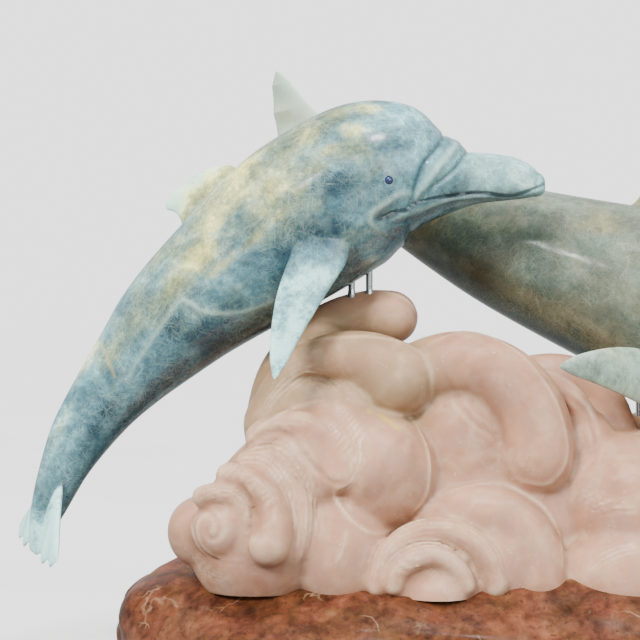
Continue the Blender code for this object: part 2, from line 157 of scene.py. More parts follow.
# Carved lines of the head and body: height in millimetres (down is negative), half width, how much painted
# shade the line puts in a groove and how much painted highlight on a ridge, how much of it runs over the
# back, and its points, each a place along the spine and a height above it in thousandths of the length
BODY_LINES = {
    "mouth": (-3.0, 1.3, 0.95, 0.0, 1.0, ((720.1, -59.4), (743.2, -58.4), (787.4, -54), (817.9, -40.7),
        (839.7, -33.6), (866, -27), (906.1, -18.7), (947.3, -17.3), (969, -8.3), (996, 8))),
    "mouth corner": (-2.6, 2.4, 0.8, 0.0, 0.0, ((721, -61.2), (737.3, -62.1), (762.2, -59.5))),
    "lower lip": (-0.9, 1.6, 0.45, 0.0, 0.0, ((726, -70), (750, -71.5), (777.3, -70.2), (820.7, -60.8),
        (845.5, -48.4), (868, -37.4), (908.4, -28.6), (936.9, -23))),
    "lip swell": (0.9, 1.8, 0.0, 0.35, 0.0, ((740, -65.5), (785, -62), (820, -51), (845, -40.5),
        (868, -32.5), (908.4, -23.5))),
    "melon crease": (-2.6, 1.9, 0.45, 0.0, 1.0, ((848, 64), (842.9, 50.5), (834, 35.2), (821.3, 17.3),
        (812.9, -6.2), (806.6, -26.6), (805.2, -35.5))),
    "beak crease": (-2.0, 1.8, 0.4, 0.0, 1.0, ((890, 47), (880, 35), (872.8, 25.1), (862.8, 10.4),
        (847.5, -5.3), (828.3, -21.4), (817.4, -35.6))),
    "collar": (2.0, 3.6, 0.0, 0.45, 1.0, ((869, 55), (861, 42), (853, 30), (842, 14), (830, -6),
        (817.5, -24), (811, -36))),
    "cheek": (1.3, 2.8, 0.0, 0.45, 0.0, ((806.8, -29.5), (777.4, -32.7), (744.5, -42.6), (718.3, -47.8),
        (708.4, -57.5), (709.2, -70.4), (717.5, -81.6))),
    "under cheek": (-0.9, 1.8, 0.35, 0.0, 0.0, ((708.2, -71.7), (721.9, -87.7), (750, -95))),
    "flank": (0.7, 1.9, 0.0, 0.45, 0.0, ((290, 0), (353.8, 9.4), (395, 15), (427.2, 18.1), (440.3, -16.1),
        (472.5, -44.6), (509, -61.1), (536.4, -68.2))),
}

# A pale fracture of the tail as share along and height
FRACTURE = ((0.3077, 0.0688), (0.2971, 0.0415), (0.2835, 0.0150))
FRACTURE_WIDTH = 0.9
CURVE_POINTS = 60


def smooth_between(pairs, where):
    """Values at the places asked, on a smooth curve through the pairs that never overshoots them."""
    xs, ys = np.array(pairs, float).T
    run = np.diff(xs)
    rise = np.diff(ys) / run
    slope = np.zeros(len(xs))
    slope[0], slope[-1] = rise[0], rise[-1]
    for i in range(1, len(xs) - 1):
        if rise[i - 1] * rise[i] > 0:
            left, right = 2 * run[i] + run[i - 1], run[i] + 2 * run[i - 1]
            slope[i] = (left + right) / (left / rise[i - 1] + right / rise[i])
    where = np.clip(where, xs[0], xs[-1])
    i = np.clip(np.searchsorted(xs, where, side="right") - 1, 0, len(run) - 1)
    t = (where - xs[i]) / run[i]
    ends = (1 + 2 * t) * (1 - t) ** 2 * ys[i] + t * t * (3 - 2 * t) * ys[i + 1]
    return ends + run[i] * (t * (1 - t) ** 2 * slope[i] + t * t * (t - 1) * slope[i + 1])


def unit(v):
    return v / np.linalg.norm(v, axis=-1, keepdims=True)


def smoothstep(low, high, x):
    t = np.clip((x - low) / (high - low), 0, 1)
    return t * t * (3 - 2 * t)


def quadratic(ends, k):
    start, middle, end = ends
    return (1 - k) ** 2 * start + 2 * k * (1 - k) * middle + k * k * end


def fading(along, power):
    """One in the middle of a line and less towards its ends."""
    return np.sin(np.clip(along, 0.02, 0.98) * math.pi) ** power


def curve_through(points):
    """Many points on a smooth curve through these."""
    points = np.array(points, float)
    padded = np.vstack((2 * points[0] - points[1], points, 2 * points[-1] - points[-2]))
    made = []
    for t in np.linspace(0, len(points) - 1, CURVE_POINTS):
        i = min(int(t), len(points) - 2)
        f = t - i
        a, b, c, d = padded[i:i + 4]
        made.append(b + 0.5 * f * (c - a + f * (2 * a - 5 * b + 4 * c - d + f * (3 * (b - c) + d - a))))
    return np.array(made)


def distance_to(points, line):
    """Distance of each point to a line of points, and how far along the line it is from 0 to 1."""
    best = np.full(len(points), 1e9)
    along = np.zeros(len(points))
    for i in range(len(line) - 1):
        a, b = line[i], line[i + 1]
        step = b - a
        t = np.clip((points - a) @ step / (step @ step), 0, 1)
        d = np.linalg.norm(points - a - t[:, None] * step, axis=1)
        nearer = d < best
        best[nearer] = d[nearer]
        along[nearer] = (i + t[nearer]) / (len(line) - 1)
    return best, along


def new_object(name, mesh, finish=None):
    obj = bpy.data.objects.new(name, mesh)
    if finish:
        mesh.materials.append(finish)
    bpy.context.scene.collection.objects.link(obj)
    return obj


def mesh_of(name, points, faces):
    mesh = bpy.data.meshes.new(name)
    mesh.from_pydata(np.asarray(points).tolist(), [], faces)
    mesh.validate()
    return mesh


def vectors(mesh, kind="co"):
    """Every point of the mesh, or its normal."""
    found = np.empty(len(mesh.vertices) * 3)
    mesh.vertices.foreach_get(kind, found)
    return found.reshape(-1, 3)


def mesh_from(name, bm):
    """A mesh made from the bmesh, with its faces turned outwards."""
    bmesh.ops.recalc_face_normals(bm, faces=bm.faces)
    mesh = bpy.data.meshes.new(name)
    bm.to_mesh(mesh)
    bm.free()
    return mesh


def move_to(mesh, points):
    mesh.vertices.foreach_set("co", points.astype(np.float32).ravel())
    mesh.update()


def paint(mesh, name, values):
    """Stores one number per point, which the material reads by this name."""
    layer = mesh.attributes.new(name, "FLOAT", "POINT")
    layer.data.foreach_set("value", np.asarray(values, np.float32))


def settle(obj):
    """Applies the modifiers."""
    graph = bpy.context.evaluated_depsgraph_get()
    graph.update()
    made = bpy.data.meshes.new_from_object(obj.evaluated_get(graph))
    obj.modifiers.clear()
    obj.data = made
    return obj


def combine(target, other, operation):
    step = target.modifiers.new(operation, "BOOLEAN")
    step.operation = operation
    step.object = other
    settle(target)
    bpy.data.objects.remove(other)


def smooth_shade(obj, angle=45):
    obj.data.shade_smooth()
    obj.data.set_sharp_from_angle(angle=math.radians(angle))


def tube_faces(rings, sides):
    """Faces of a skin whose first and last ring each close on a point of their own, after the rings."""
    faces = []
    for i in range(rings - 1):
        for j in range(sides):
            k = (j + 1) % sides
            faces.append((i * sides + j, i * sides + k, (i + 1) * sides + k, (i + 1) * sides + j))
    first, last = rings * sides, rings * sides + 1
    for j in range(sides):
        k = (j + 1) % sides
        faces.append((first, k, j))
        faces.append((last, (rings - 1) * sides + j, (rings - 1) * sides + k))
    return faces


def tube(name, rings):
    rings = np.asarray(rings)
    points = np.vstack((rings.reshape(-1, 3), rings[0].mean(0), rings[-1].mean(0)))
    mesh = mesh_of(name, points, tube_faces(*rings.shape[:2]))
    bm = bmesh.new()
    bm.from_mesh(mesh)
    bmesh.ops.recalc_face_normals(bm, faces=bm.faces)
    bm.to_mesh(mesh)
    bm.free()
    return mesh


def soft_profile(column):
    """The body's profile with the small corners between its rows smoothed away."""
    spread = 5
    values = smooth_between([(row[0], row[column]) for row in BODY_PROFILE], PROFILE_SHARES)
    weights = np.exp(-(np.arange(-3 * spread, 3 * spread + 1) / spread) ** 2 / 2)
    padded = np.concatenate((np.full(3 * spread, values[0]), values, np.full(3 * spread, values[-1])))
    return np.convolve(padded, weights / weights.sum(), "valid")


PROFILE_SHARES = np.linspace(0, 1, 801)
PROFILE = {column: soft_profile(column) for column in (1, 2, 3)}


class Spine:
    """A dolphin's spine: points and axes at any share of its length."""

    STEPS = 400

    def __init__(self, length, pose, hold_share, hold):
        self.length = length
        self.pose = pose
        shares = np.linspace(0, 1, self.STEPS + 1)
        pitch, yaw, lean = (np.radians(smooth_between(pose[key], shares)) for key in ("pitch", "yaw", "lean"))
        forward = np.stack((np.cos(pitch) * np.cos(yaw), np.cos(pitch) * np.sin(yaw), np.sin(pitch)), axis=1)
        right = np.stack((np.sin(yaw), -np.cos(yaw), np.zeros_like(yaw)), axis=1)
        up = np.cross(right, forward)
        c, s = np.cos(lean)[:, None], np.sin(lean)[:, None]
        self.axes = np.stack((forward, up * c + right * s, right * c - up * s), axis=1)
        steps = (forward[1:] + forward[:-1]) / 2 * length / self.STEPS
        self.points = np.vstack((np.zeros(3), np.cumsum(steps, axis=0)))
        belly = smooth_between([(u, v) for u, _, v, _ in BODY_PROFILE], hold_share) * length
        self.points += hold - self.at(hold_share, 0, -belly)

    def place(self, share):
        i = min(max(share, 0), 1) * self.STEPS
        low = min(int(i), self.STEPS - 1)
        t = i - low
        point = self.points[low] * (1 - t) + self.points[low + 1] * t
        axes = self.axes[low] * (1 - t) + self.axes[low + 1] * t
        return point, axes / np.linalg.norm(axes, axis=1)[:, None]

    def at(self, share, right, up):
        point, (_, up_axis, right_axis) = self.place(share)
        return point + right_axis * right + up_axis * up

    def skin(self, share, degrees):
        back, belly, half = (profile_at(share, column) * self.length for column in (1, 2, 3))
        angle = math.radians(degrees)
        height = (back if math.cos(angle) > 0 else belly) * math.cos(angle)
        return self.at(share, half * math.sin(angle), height)

    def measure(self, points):
        """Share along, height and sideways distance as shares of the length, for each point."""
        nearest = np.empty(len(points), int)
        for start in range(0, len(points), 20000):
            part = points[start:start + 20000]
            gaps = ((part[:, None, :] - self.points[None, :, :]) ** 2).sum(axis=2)
            nearest[start:start + 20000] = gaps.argmin(axis=1)
        axes = self.axes[nearest]
        offset = points - self.points[nearest]
        along, height, side = (np.einsum("ij,ij->i", offset, axes[:, k]) / self.length for k in range(3))
        return nearest / self.STEPS + along, height, side


def profile_at(share, column):
    return np.interp(share, PROFILE_SHARES, PROFILE[column])


def body_relief(share, height, length, lines, middle):
    """How far each point of the body is carved, in metres, and how much painted shade and painted highlight
    its lines get.

    The middle is 0 along the back and the belly and 1 on the sides."""
    places = np.stack((share, height), axis=1) * length / MM
    lift, groove_shade, pale_and_highlight = np.zeros((3, len(share)))
    for name in lines:
        depth, width, groove_shade_strength, ridge_highlight_strength, over, line = BODY_LINES[name]
        gap, along = distance_to(places, curve_through(line) * length)
        profile = np.exp(-(gap / width) ** 2) * fading(along, 0.35) * np.maximum(middle, over)
        lift += depth * MM * profile
        # Painted shade for the grooves and painted highlight for the raised lines, as colour on the stone
        groove_shade = np.maximum(groove_shade, groove_shade_strength * profile)
        pale_and_highlight = np.maximum(pale_and_highlight, ridge_highlight_strength * profile)
    return lift, groove_shade, pale_and_highlight


def body_mesh(name, spine, rings_tail, rings_head, sides):
    """The body with its carved lines, closer meshed around the head and along the eyes."""
    tip = SNOUT_START
    shares = np.concatenate((
        np.linspace(0.0, HEAD_START, rings_tail, endpoint=False),
        np.linspace(HEAD_START, tip, rings_head, endpoint=False),
        tip + (1 - tip) * np.sin(np.linspace(0, math.pi / 2, 14))[:-1],
        [0.9998],
    ))
    full = 2 * math.pi
    turns = np.linspace(0, full, 4001)[:-1]
    from_back = np.degrees(np.minimum(turns, full - turns))
    weight = 1 + 1.6 * np.exp(-((np.abs(from_back - DENSE_ANGLE) / DENSE_SPREAD) ** 2))
    share_of_turn = np.concatenate(([0], np.cumsum(weight) / weight.sum()))
    turns = np.interp(np.arange(sides) / sides, share_of_turn, np.concatenate((turns, [full])))
    close = np.where(shares > tip, np.sqrt(np.clip(1 - ((shares - tip) / (1 - tip)) ** 2, 0.0004, 1)), 1)
    scale = close * spine.length
    back, belly, half = (profile_at(np.minimum(shares, tip), column) * scale for column in (1, 2, 3))
    rings = np.empty((len(shares), sides, 3))
    places = np.empty((len(shares), sides, 2))
    c, s = np.cos(turns), np.sin(turns)
    for i, share in enumerate(shares):
        point, (_, up, right) = spine.place(share)
        height = np.where(c > 0, back[i], belly[i]) * c
        rings[i] = point + np.outer(height, up) + np.outer(half[i] * s, right)
        places[i] = np.stack((np.full(sides, share), height / spine.length), axis=1)
    around = np.roll(rings, -1, axis=1) - np.roll(rings, 1, axis=1)
    along = np.gradient(rings, axis=0)
    outward = unit(np.cross(along, around) + 1e-12)
    core = rings.mean(axis=1, keepdims=True)
    outward *= np.sign(np.einsum("ijk,ijk->ij", outward, rings - core))[:, :, None]
    middle = np.tile(smoothstep(*SIDE_RANGE, np.abs(s)), len(shares))
    share, height = places[:, :, 0].ravel(), places[:, :, 1].ravel()
    lift, _, _ = body_relief(share, height, spine.length, spine.pose["lines"], middle)
    lift = lift.reshape(len(shares), sides)
    for side in (1, -1):
        eye = spine.skin(EYE_SHARE, side * EYE_ANGLE)
        gap = np.linalg.norm(rings - eye, axis=2) / MM
        lift += LID_HEIGHT * np.exp(-((gap - LID_RADIUS) / LID_WIDTH) ** 2)
    return tube(name, rings + outward * lift[:, :, None])


def blade_rings(outline, length, origin, along, span, start, sections=60, sides=48, droop=0.0, waves=0,
                scallop=0.0):
    """Rings of a fin that is thick at the root and thin and rounded at the tip."""
    along = unit(along - span * np.dot(along, span))
    across = np.cross(along, span)
    root, tip = outline["half"]
    steps = np.sin(np.linspace(0, math.pi / 2, sections))
    if start == -1:
        steps = np.concatenate((-steps[:0:-1], steps))
    else:
        steps = np.concatenate((np.linspace(start, 0, 8, endpoint=False), steps))
    turns = np.arange(sides) * 2 * math.pi / sides
    rearward = smoothstep(0.0, 1.0, (1 - np.cos(turns)) / 2)
    rings = []
    for k in np.clip(steps, -0.9995, 0.9995):
        a = abs(k)
        front, rear = (quadratic(outline[edge], a) * length for edge in ("front", "rear"))
        wave = abs(math.cos(k * waves * math.pi / 2))
        rear += scallop * wave * min(1, 6 * (1 - a))
        close = math.sqrt(1 - max(0.0, (a - outline["round"]) / (1 - outline["round"])) ** 2)
        middle, chord = (front + rear) / 2, (front - rear) / 2 * close
        half = (root + (tip - root) * a ** 0.8) * length * close
        centre = origin + span * outline["span"] * length * k + along * middle - across * droop * k * k
        thickness = half * np.sin(turns) * (1 - (0.55 * wave * rearward if waves else 0))
        rings.append(centre + np.outer(np.cos(turns) * chord, along) + np.outer(thickness, across))
    return rings


def fins(spine):
    """Name and rings of each fin."""
    length = spine.length
    rear_share, front_share, angle = spine.pose["dorsal"]
    rear_root = spine.skin(rear_share, angle)
    along = unit(spine.skin(front_share, angle) - rear_root)
    _, (_, up, right) = spine.place((rear_share + front_share) / 2)
    span = up * math.cos(math.radians(angle)) + right * math.sin(math.radians(angle))
    span = unit(span - along * np.dot(span, along))
    yield "dorsal", blade_rings(DORSAL, length, rear_root, along, span, -0.5)

    share, angle = spine.pose["flipper"]
    _, (forward, up, right) = spine.place(share)
    ahead, rise, out = spine.pose["sweep"]
    for name, side in (("right", 1), ("left", -1)):
        origin = spine.skin(share, side * angle)
        sweep = ahead * forward + rise * up + out * side * right
        chord = FLIPPER_CHORD[0] * forward + FLIPPER_CHORD[1] * up
        yield f"{name} flipper", blade_rings(FLIPPER, length, origin, chord, unit(sweep), -0.25)

    turn, droop, waves, scallop = spine.pose["fluke"]
    origin, (forward, up, right) = spine.place(0)
    c, s = math.cos(math.radians(turn)), math.sin(math.radians(turn))
    yield "fluke", blade_rings(FLUKE, length, origin, forward, right * c - up * s, -1, sections=100, sides=84,
                               droop=droop, waves=waves, scallop=scallop)


def ball(name, centre, radius, finish=None):
    bm = bmesh.new()
    bmesh.ops.create_uvsphere(bm, u_segments=EYE_SEGMENTS, v_segments=EYE_RINGS, radius=radius)
    bmesh.ops.translate(bm, verts=bm.verts, vec=Vector(centre))
    return new_object(name, mesh_from(name, bm), finish)


def blobs(share, rise, spots):
    """The strongest of several soft patches at each point."""
    found = np.zeros(len(share))
    for at_share, at_rise, long, tall, weight in np.array(spots) / 100:
        gap = ((share - at_share) / long) ** 2 + ((rise - at_rise) / tall) ** 2
        found = np.maximum(found, weight * np.exp(-gap))
    return found


def make_dolphin(node, spine, rings, spots, finish, eye_finish):
    length, pose = spine.length, spine.pose
    dolphin = new_object(f"{node}_carving", body_mesh(node, spine, *rings), finish)
    for fin, loops in fins(spine):
        combine(dolphin, new_object(fin, tube(fin, loops)), "UNION")
    for word, side in (("right", 1), ("left", -1)):
        on_skin = spine.skin(EYE_SHARE, side * EYE_ANGLE)
        inwards = unit(spine.place(EYE_SHARE)[0] - on_skin)
        centre = on_skin + inwards * EYE_DEPTH
        combine(dolphin, ball("socket", centre, EYE_RADIUS + SOCKET_CLEARANCE), "DIFFERENCE")
        eye = ball(f"{node}_{word}_cabochon", centre, EYE_RADIUS, eye_finish)
        smooth_shade(eye)
        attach(eye, "root")
        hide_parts(f"{node}_{word}_eye")
    mesh = dolphin.data
    points = vectors(mesh)
    share, height, side = spine.measure(points)
    rise = height / np.where(height > 0, profile_at(share, 1), profile_at(share, 2))
    spread = side / profile_at(share, 3)
    reach = np.hypot(rise, spread)
    soft = smoothstep(0.17, 0.12, share) * smoothstep(1.9, 1.2, reach)
    root = smoothstep(0.96, 1.04, reach) * smoothstep(1.50, 1.15, reach) * smoothstep(0.70, 0.68, share)
    soft = np.maximum(soft, 0.8 * root)
    for _ in range(ROOT_ROUNDS):
        points += (neighbour_mean(mesh, points, 1) - points) * soft[:, None]
    move_to(mesh, points)
    fin = smoothstep(*FIN_REACH, reach) * smoothstep(0.98, 0.90, share)
    fin = np.maximum(fin, smoothstep(*FLUKE_SHARES, share))
    # Painted shade along the carved grooves and painted highlight along the raised lines, both kept off the
    # fins
    _, groove_shade, pale_and_highlight = body_relief(share, height, length, pose["lines"], smoothstep(*SIDE_RANGE, np.abs(spread)))
    near = 1 - fin
    paint(mesh, "share", share)
    paint(mesh, "rise", np.clip(rise, -1.3, 1.3))
    paint(mesh, "fin", fin)
    paint(mesh, "beak", smoothstep(*BEAK_SHARES, share))
    paint(mesh, "groove_shade", groove_shade * near)
    paint(mesh, "pale_and_highlight", pale_and_highlight * near)
    # Soft patches: cream streaks, paler stone with painted highlights, and darker stone with painted shade
    for name, rows in spots.items():
        paint(mesh, name, blobs(share, np.clip(rise, -1.1, 1.1), rows) * (1 - 0.4 * fin))
    scale = length / MM
    gap, _ = distance_to(np.stack((share, height), axis=1) * scale, np.array(FRACTURE) * scale)
    paint(mesh, "crack", np.exp(-(gap / FRACTURE_WIDTH) ** 2) * near)
    smooth_shade(dolphin, 40)
    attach(dolphin, "root")
    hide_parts(node)
    return dolphin


# Curls of the wave in millimetres and degrees: centre x and z, radius at start and end, angle at start and
# end, thickness (half) at start and end, y at start and end
CURLS = {
    "front crest": (-84, 184, 87, 87, 186, 82, 16, 22, -4, -10),
    "front fold": (-116, 178, 58, 65, 172, 43, 11, 29, -34, -52),
    "lobe": (-124, 94, 77, 73, 158, 57, 23, 43, -50, -62),
    "lobe inner": (-148, 150, 38, 34, 133, 2, 12, 17, -70, -84),
    "left outer": (-172, 106, 52, 52, 100, -40, 12, 12, -76, -84),
    "left middle": (-175, 114, 33, 33, 100, -45, 11, 11, -88, -96),
    "left thumb": (-197, 114, 37, 34, 90, -25, 10, 16, -94, -110),
    "left spiral": (-204, 114, 25, 4, 120, -330, 8, 4, -100, -108),
    "low outer": (-40, 65, 44, 44, 175, 5, 10, 10, -98, -98),
    "low inner": (-46, 65, 27, 27, 170, 10, 8, 8, -108, -108),
    "middle": (-18, 172, 62, 57, 118, -12, 26, 30, -40, -52),
    "middle rim": (37, 174, 47, 47, 95, -50, 10, 10, -28, -28),
    "middle back": (56, 171, 53, 53, 120, -20, 18, 19, 10, 20),
    "low right": (-8, 74, 47, 47, 130, -5, 20, 22, -72, -80),
    "right rim": (116, 55, 33, 33, 170, 20, 10, 10, -78, -78),
    "rear crest": (146, 120, 52, 50, 165, 30, 20, 25, 60, 68),
    "right": (163, 111, 60, 57, 155, 5, 20, 24, -18, -34),
    "right end": (222, 62, 36, 34, 160, 0, 14, 17, -40, -52),
    "right low": (165, 55, 38, 37, 170, 10, 11, 13, -74, -80),
    "back left": (-103, 115, 76, 69, 165, 35, 22, 30, 44, 54),
    "back middle": (-3, 93, 67, 70, 10, 150, 20, 28, 58, 68),
    "back low left": (-153, 50, 47, 45, 170, 15, 17, 21, 72, 80),
    "back low": (-35, 32, 49, 46, 170, 10, 14, 19, 86, 92),
    "back right": (203, 57, 50, 46, 165, 5, 18, 22, 52, 56),
}

# Masses that fill the wave behind its curls in millimetres: centre x, y, z, then half sizes along x, y, z
MASSES = {
    "core": (-32, 0, 76, 172, 85, 132),
    "core right": (128, 0, 76, 120, 80, 104),
    "left fill": (-173, -42, 104, 48, 48, 58),
    "lobe fill": (-120, -42, 151, 53, 48, 45),
    "crest fill": (-124, -6, 203, 46, 34, 48),
    "hollow": (-21, -12, 163, 54, 60, 75),
    "slot fill": (76, -14, 158, 34, 34, 44),
    "middle fill": (15, -4, 181, 50, 48, 52),
    "back fill": (62, 8, 150, 46, 50, 56),
    "right fill": (112, -14, 118, 66, 74, 62),
    "low right fill": (3, -58, 83, 58, 44, 50),
    "low ball": (-40, -95, 57, 26, 28, 26),
    "spiral ball": (-202, -92, 110, 23, 24, 23),
    "left bulge": (-216, -60, 105, 29, 32, 29),
    "low left fill": (-112, -64, 92, 44, 42, 52),
    "right low fill": (110, -64, 68, 60, 42, 46),
    "right mass": (182, -10, 93, 72, 74, 72),
    "right end mass": (239, -20, 67, 40, 54, 36),
    "shell": (-176, -58, 98, 54, 54, 56),
    "under fold": (-138, -32, 184, 50, 36, 44),
    "fold seat": (-103, -42, 197, 27, 27, 27),
    "finger": (-136, -52, 152, 44, 46, 50),
    "lobe end": (-80, -60, 149, 44, 42, 45),
    "lobe crown": (-112, -48, 176, 40, 40, 34),
    "crease fill": (-56, -28, 190, 24, 24, 26),
    "low disc": (-42, -82, 60, 44, 32, 40),
}

# Fine carved ridges and grooves: height in millimetres (down is negative), half width, how much painted
# highlight they get, the spacing of the lines that run beside them, and their points in the view
RIDGES = {
    "spiral": (-1.7, 1.7, 0, 0, ((232, 562), (214, 559), (201, 549), (195, 535), (193, 521), (199, 512),
        (209, 511), (217, 520), (219, 531), (214, 539), (208, 536), (207, 529), (212, 524))),
    "spiral edge": (0.9, 1.3, 0.7, 0, ((243, 560), (224, 560), (208, 552), (199, 539), (198, 524),
        (203, 517), (209, 517))),
    "spiral top": (0.9, 1.6, 0.7, 3, ((190, 516), (200, 500), (216, 492), (233, 493), (246, 506),
        (250, 520))),
    "spiral lip": (-1.3, 1.7, 0, 3.4, ((191, 544), (196, 562), (209, 572), (230, 578))),
    "thumb crease": (-2.4, 1.9, 0, 0, ((238, 480), (246, 492), (253, 507), (252, 522), (248, 536),
        (247, 548), (252, 560))),
    "thumb top": (1, 1.6, 0.7, 2.6, ((243, 481), (256, 484), (266, 497), (271, 512), (269, 530))),
    "second arc": (1.5, 1.8, 0.8, 4.2, ((219, 476), (237, 461), (256, 458), (269, 464), (282, 479),
        (292, 502), (295, 528), (292, 552))),
    "outer arc": (1.5, 1.8, 0.8, 4.2, ((235, 463), (248, 452), (266, 447), (282, 450), (295, 463),
        (307, 483), (311, 507), (311, 529), (306, 553))),
    "far ridge": (1.1, 2, 0.6, 0, ((347, 530), (343, 548), (335, 566))),
    "lobe right": (1.3, 1.6, 1, 0, ((405, 412), (416, 426), (426, 447), (430, 471), (425, 497),
        (410, 515))),
    "lobe foot": (1.1, 1.7, 0.8, 0, ((362, 463), (352, 481), (335, 491), (342, 510), (360, 528), (380, 534),
        (403, 521))),
    "lobe top": (1, 2, 0.4, 0, ((246, 441), (262, 427), (284, 413), (307, 404), (328, 399))),
    "crescent": (1.4, 1.5, 0.9, 3.4, ((317, 402), (331, 404), (347, 419), (360, 442), (358, 468),
        (347, 484), (336, 490))),
    "tongue": (0.9, 1.5, 0.8, 3, ((310, 416), (326, 421), (339, 434), (348, 452), (351, 468), (346, 479))),
    "tongue under": (-2, 2, 0, 0, ((252, 444), (265, 434), (281, 432), (295, 441), (303, 452), (318, 470),
        (331, 482), (342, 483))),
    "tongue left": (0.8, 1.6, 0.5, 2.8, ((258, 432), (275, 424), (295, 419), (310, 416))),
    "fold top": (1, 2.2, 0.5, 0, ((268, 362), (290, 347), (317, 340), (363, 337), (397, 342), (420, 353),
        (431, 373), (431, 397), (420, 411), (397, 415), (370, 407), (350, 394))),
    "fold under": (-1.6, 2, 0, 0, ((345, 394), (334, 384), (320, 377), (305, 377), (290, 386), (277, 402),
        (268, 420))),
    "fold inner": (1.2, 1.6, 0.9, 3.6, ((262, 426), (265, 412), (271, 400), (289, 381), (309, 371),
        (329, 378), (345, 391))),
    "crest crease": (-1.2, 2.2, 0, 0, ((312, 322), (328, 325), (345, 331))),
    "crest top": (0.9, 2.2, 0.5, 0, ((340, 298), (370, 291), (395, 294), (411, 304), (417, 318),
        (409, 341))),
    "ring": (1.4, 1.8, 0.8, 3.8, ((369, 585), (376, 555), (387, 540), (402, 529), (419, 522), (437, 520),
        (455, 522), (472, 529), (487, 540), (498, 555), (505, 578))),
    "ring inner": (1.4, 1.8, 0.8, 3.4, ((384, 574), (389, 562), (398, 553), (412, 546), (428, 543),
        (444, 546), (458, 554), (468, 564), (473, 576))),
    "ring heart": (1.3, 1.8, 0.7, 3, ((385, 580), (400, 569), (425, 566), (441, 577))),
    "middle top": (1, 2, 0.4, 0, ((420, 350), (440, 339), (467, 332), (497, 340), (523, 357), (545, 383),
        (560, 413), (567, 447), (563, 468), (548, 483), (528, 482), (508, 474))),
    "middle crease": (-1.5, 2.4, 0, 0, ((440, 363), (450, 385), (463, 407), (478, 422), (493, 433),
        (503, 443), (507, 455))),
    "back crease": (-1.4, 2.2, 0, 0, ((560, 393), (577, 403), (590, 420), (597, 447), (590, 465),
        (577, 477))),
    "low right edge": (1.3, 2, 0.7, 3.6, ((573, 490), (597, 502), (618, 507), (640, 508))),
    "right arc": (1.2, 2, 0.6, 0, ((430, 500), (458, 489), (490, 484), (512, 488), (532, 499), (547, 512),
        (557, 530), (562, 552), (563, 577))),
    "far arc": (1.2, 2, 0.6, 3.8, ((587, 577), (596, 565), (607, 557), (622, 551), (640, 547))),
}

# Slivers of old adhesive in two creases: ends and half width in millimetres
GLUE = (
    ((-103, -36, 207), (-90, -72, 197), 3.4),
    ((-82, -75, 195), (-70, -86, 186), 4.6),
)

WAVE_VOXEL = 0.0022
WAVE_SMOOTHING = 12
MASS_DETAIL = 5
CURL_CAPS = (0.99, 0.93, 0.82, 0.66, 0.46, 0.24)

# Unevenness of the hand polish: waves to the metre, and height in millimetres
WAVE_WANDER = ((22, 0.9), (60, 0.25))

# Where the greenish stone fades out: millimetres from the middle of the front fold, and metres along x
GREEN_GAP = (58, 24)
GREEN_START = (-0.205, -0.180)
ARM_STEPS = 40
ARM_SIDES = 40


def curl_rings(curl):
    """Rings along an arc whose thickness and depth change from start to end, with rounded ends."""
    cx, cz, radius0, radius1, turn0, turn1, half0, half1, y0, y1 = curl
    steps = max(ARM_STEPS, int(abs(turn1 - turn0) / 4))
    points, halves = [], []
    for t in np.linspace(0, 1, steps + 1):
        angle = math.radians(turn0 + (turn1 - turn0) * t)
        radius = (radius0 + (radius1 - radius0) * t) * MM
        points.append(np.array((cx * MM + radius * math.cos(angle),
                                (y0 + (y1 - y0) * t) * MM,
                                cz * MM + radius * math.sin(angle))))
        halves.append((half0 + (half1 - half0) * t * t) * MM)
    points, tangents = np.array(points), np.gradient(np.array(points), axis=0)
    rings = []
    for end, sign in ((0, -1), (-1, 1)):
        caps = []
        for lift in CURL_CAPS:
            centre = points[end] + unit(tangents[end]) * sign * halves[end] * lift
            caps.append(ring_around(centre, tangents[end], halves[end] * math.sqrt(1 - lift * lift)))
        if end == 0:
            rings += caps
            rings += [ring_around(*row) for row in zip(points, tangents, halves)]
        else:
            rings += caps[::-1]
    return rings


def ring_around(centre, tangent, half):
    across = np.array((0.0, 1.0, 0.0))
    side = unit(np.cross(tangent, across))
    across = unit(np.cross(side, tangent))
    turns = np.arange(ARM_SIDES) * 2 * math.pi / ARM_SIDES
    return [centre + half * (across * math.cos(a) + side * math.sin(a)) for a in turns]


def curl_top(name):
    _, cz, radius0, radius1, turn0, turn1, half0, half1, _, _ = CURLS[name]
    t = (90 - turn0) / (turn1 - turn0)
    return (cz + radius0 + (radius1 - radius0) * t + half0 + (half1 - half0) * t * t) * MM


def neighbour_mean(mesh, values, rounds):
    """Values averaged over each point's neighbours, several times."""
    edges = np.empty(len(mesh.edges) * 2, int)
    mesh.edges.foreach_get("vertices", edges)
    a, b = edges.reshape(-1, 2).T
    count = np.bincount(a, minlength=len(mesh.vertices)) + np.bincount(b, minlength=len(mesh.vertices))
    values = np.asarray(values, float).reshape(len(mesh.vertices), -1)
    for _ in range(rounds):
        total = np.stack([
            np.bincount(a, values[b, k], len(values)) + np.bincount(b, values[a, k], len(values))
            for k in range(values.shape[1])
        ], axis=1)
        values = 0.5 * values + 0.5 * total / np.maximum(count, 1)[:, None]
    return values if values.shape[1] > 1 else values[:, 0]


def seen_on(tree, x, z):
    """Where the line of sight through this point of the view meets the surface."""
    scale = VIEW_SIZE / PHOTO_SIZE
    middle = PHOTO_SIZE / 2
    eye = Vector(EYE_POINT)
    through = Vector((EYE_POINT[0] + (x - middle) * scale, 0, EYE_POINT[2] + (middle - z) * scale))
    return tree.ray_cast(eye, (through - eye).normalized())[0]


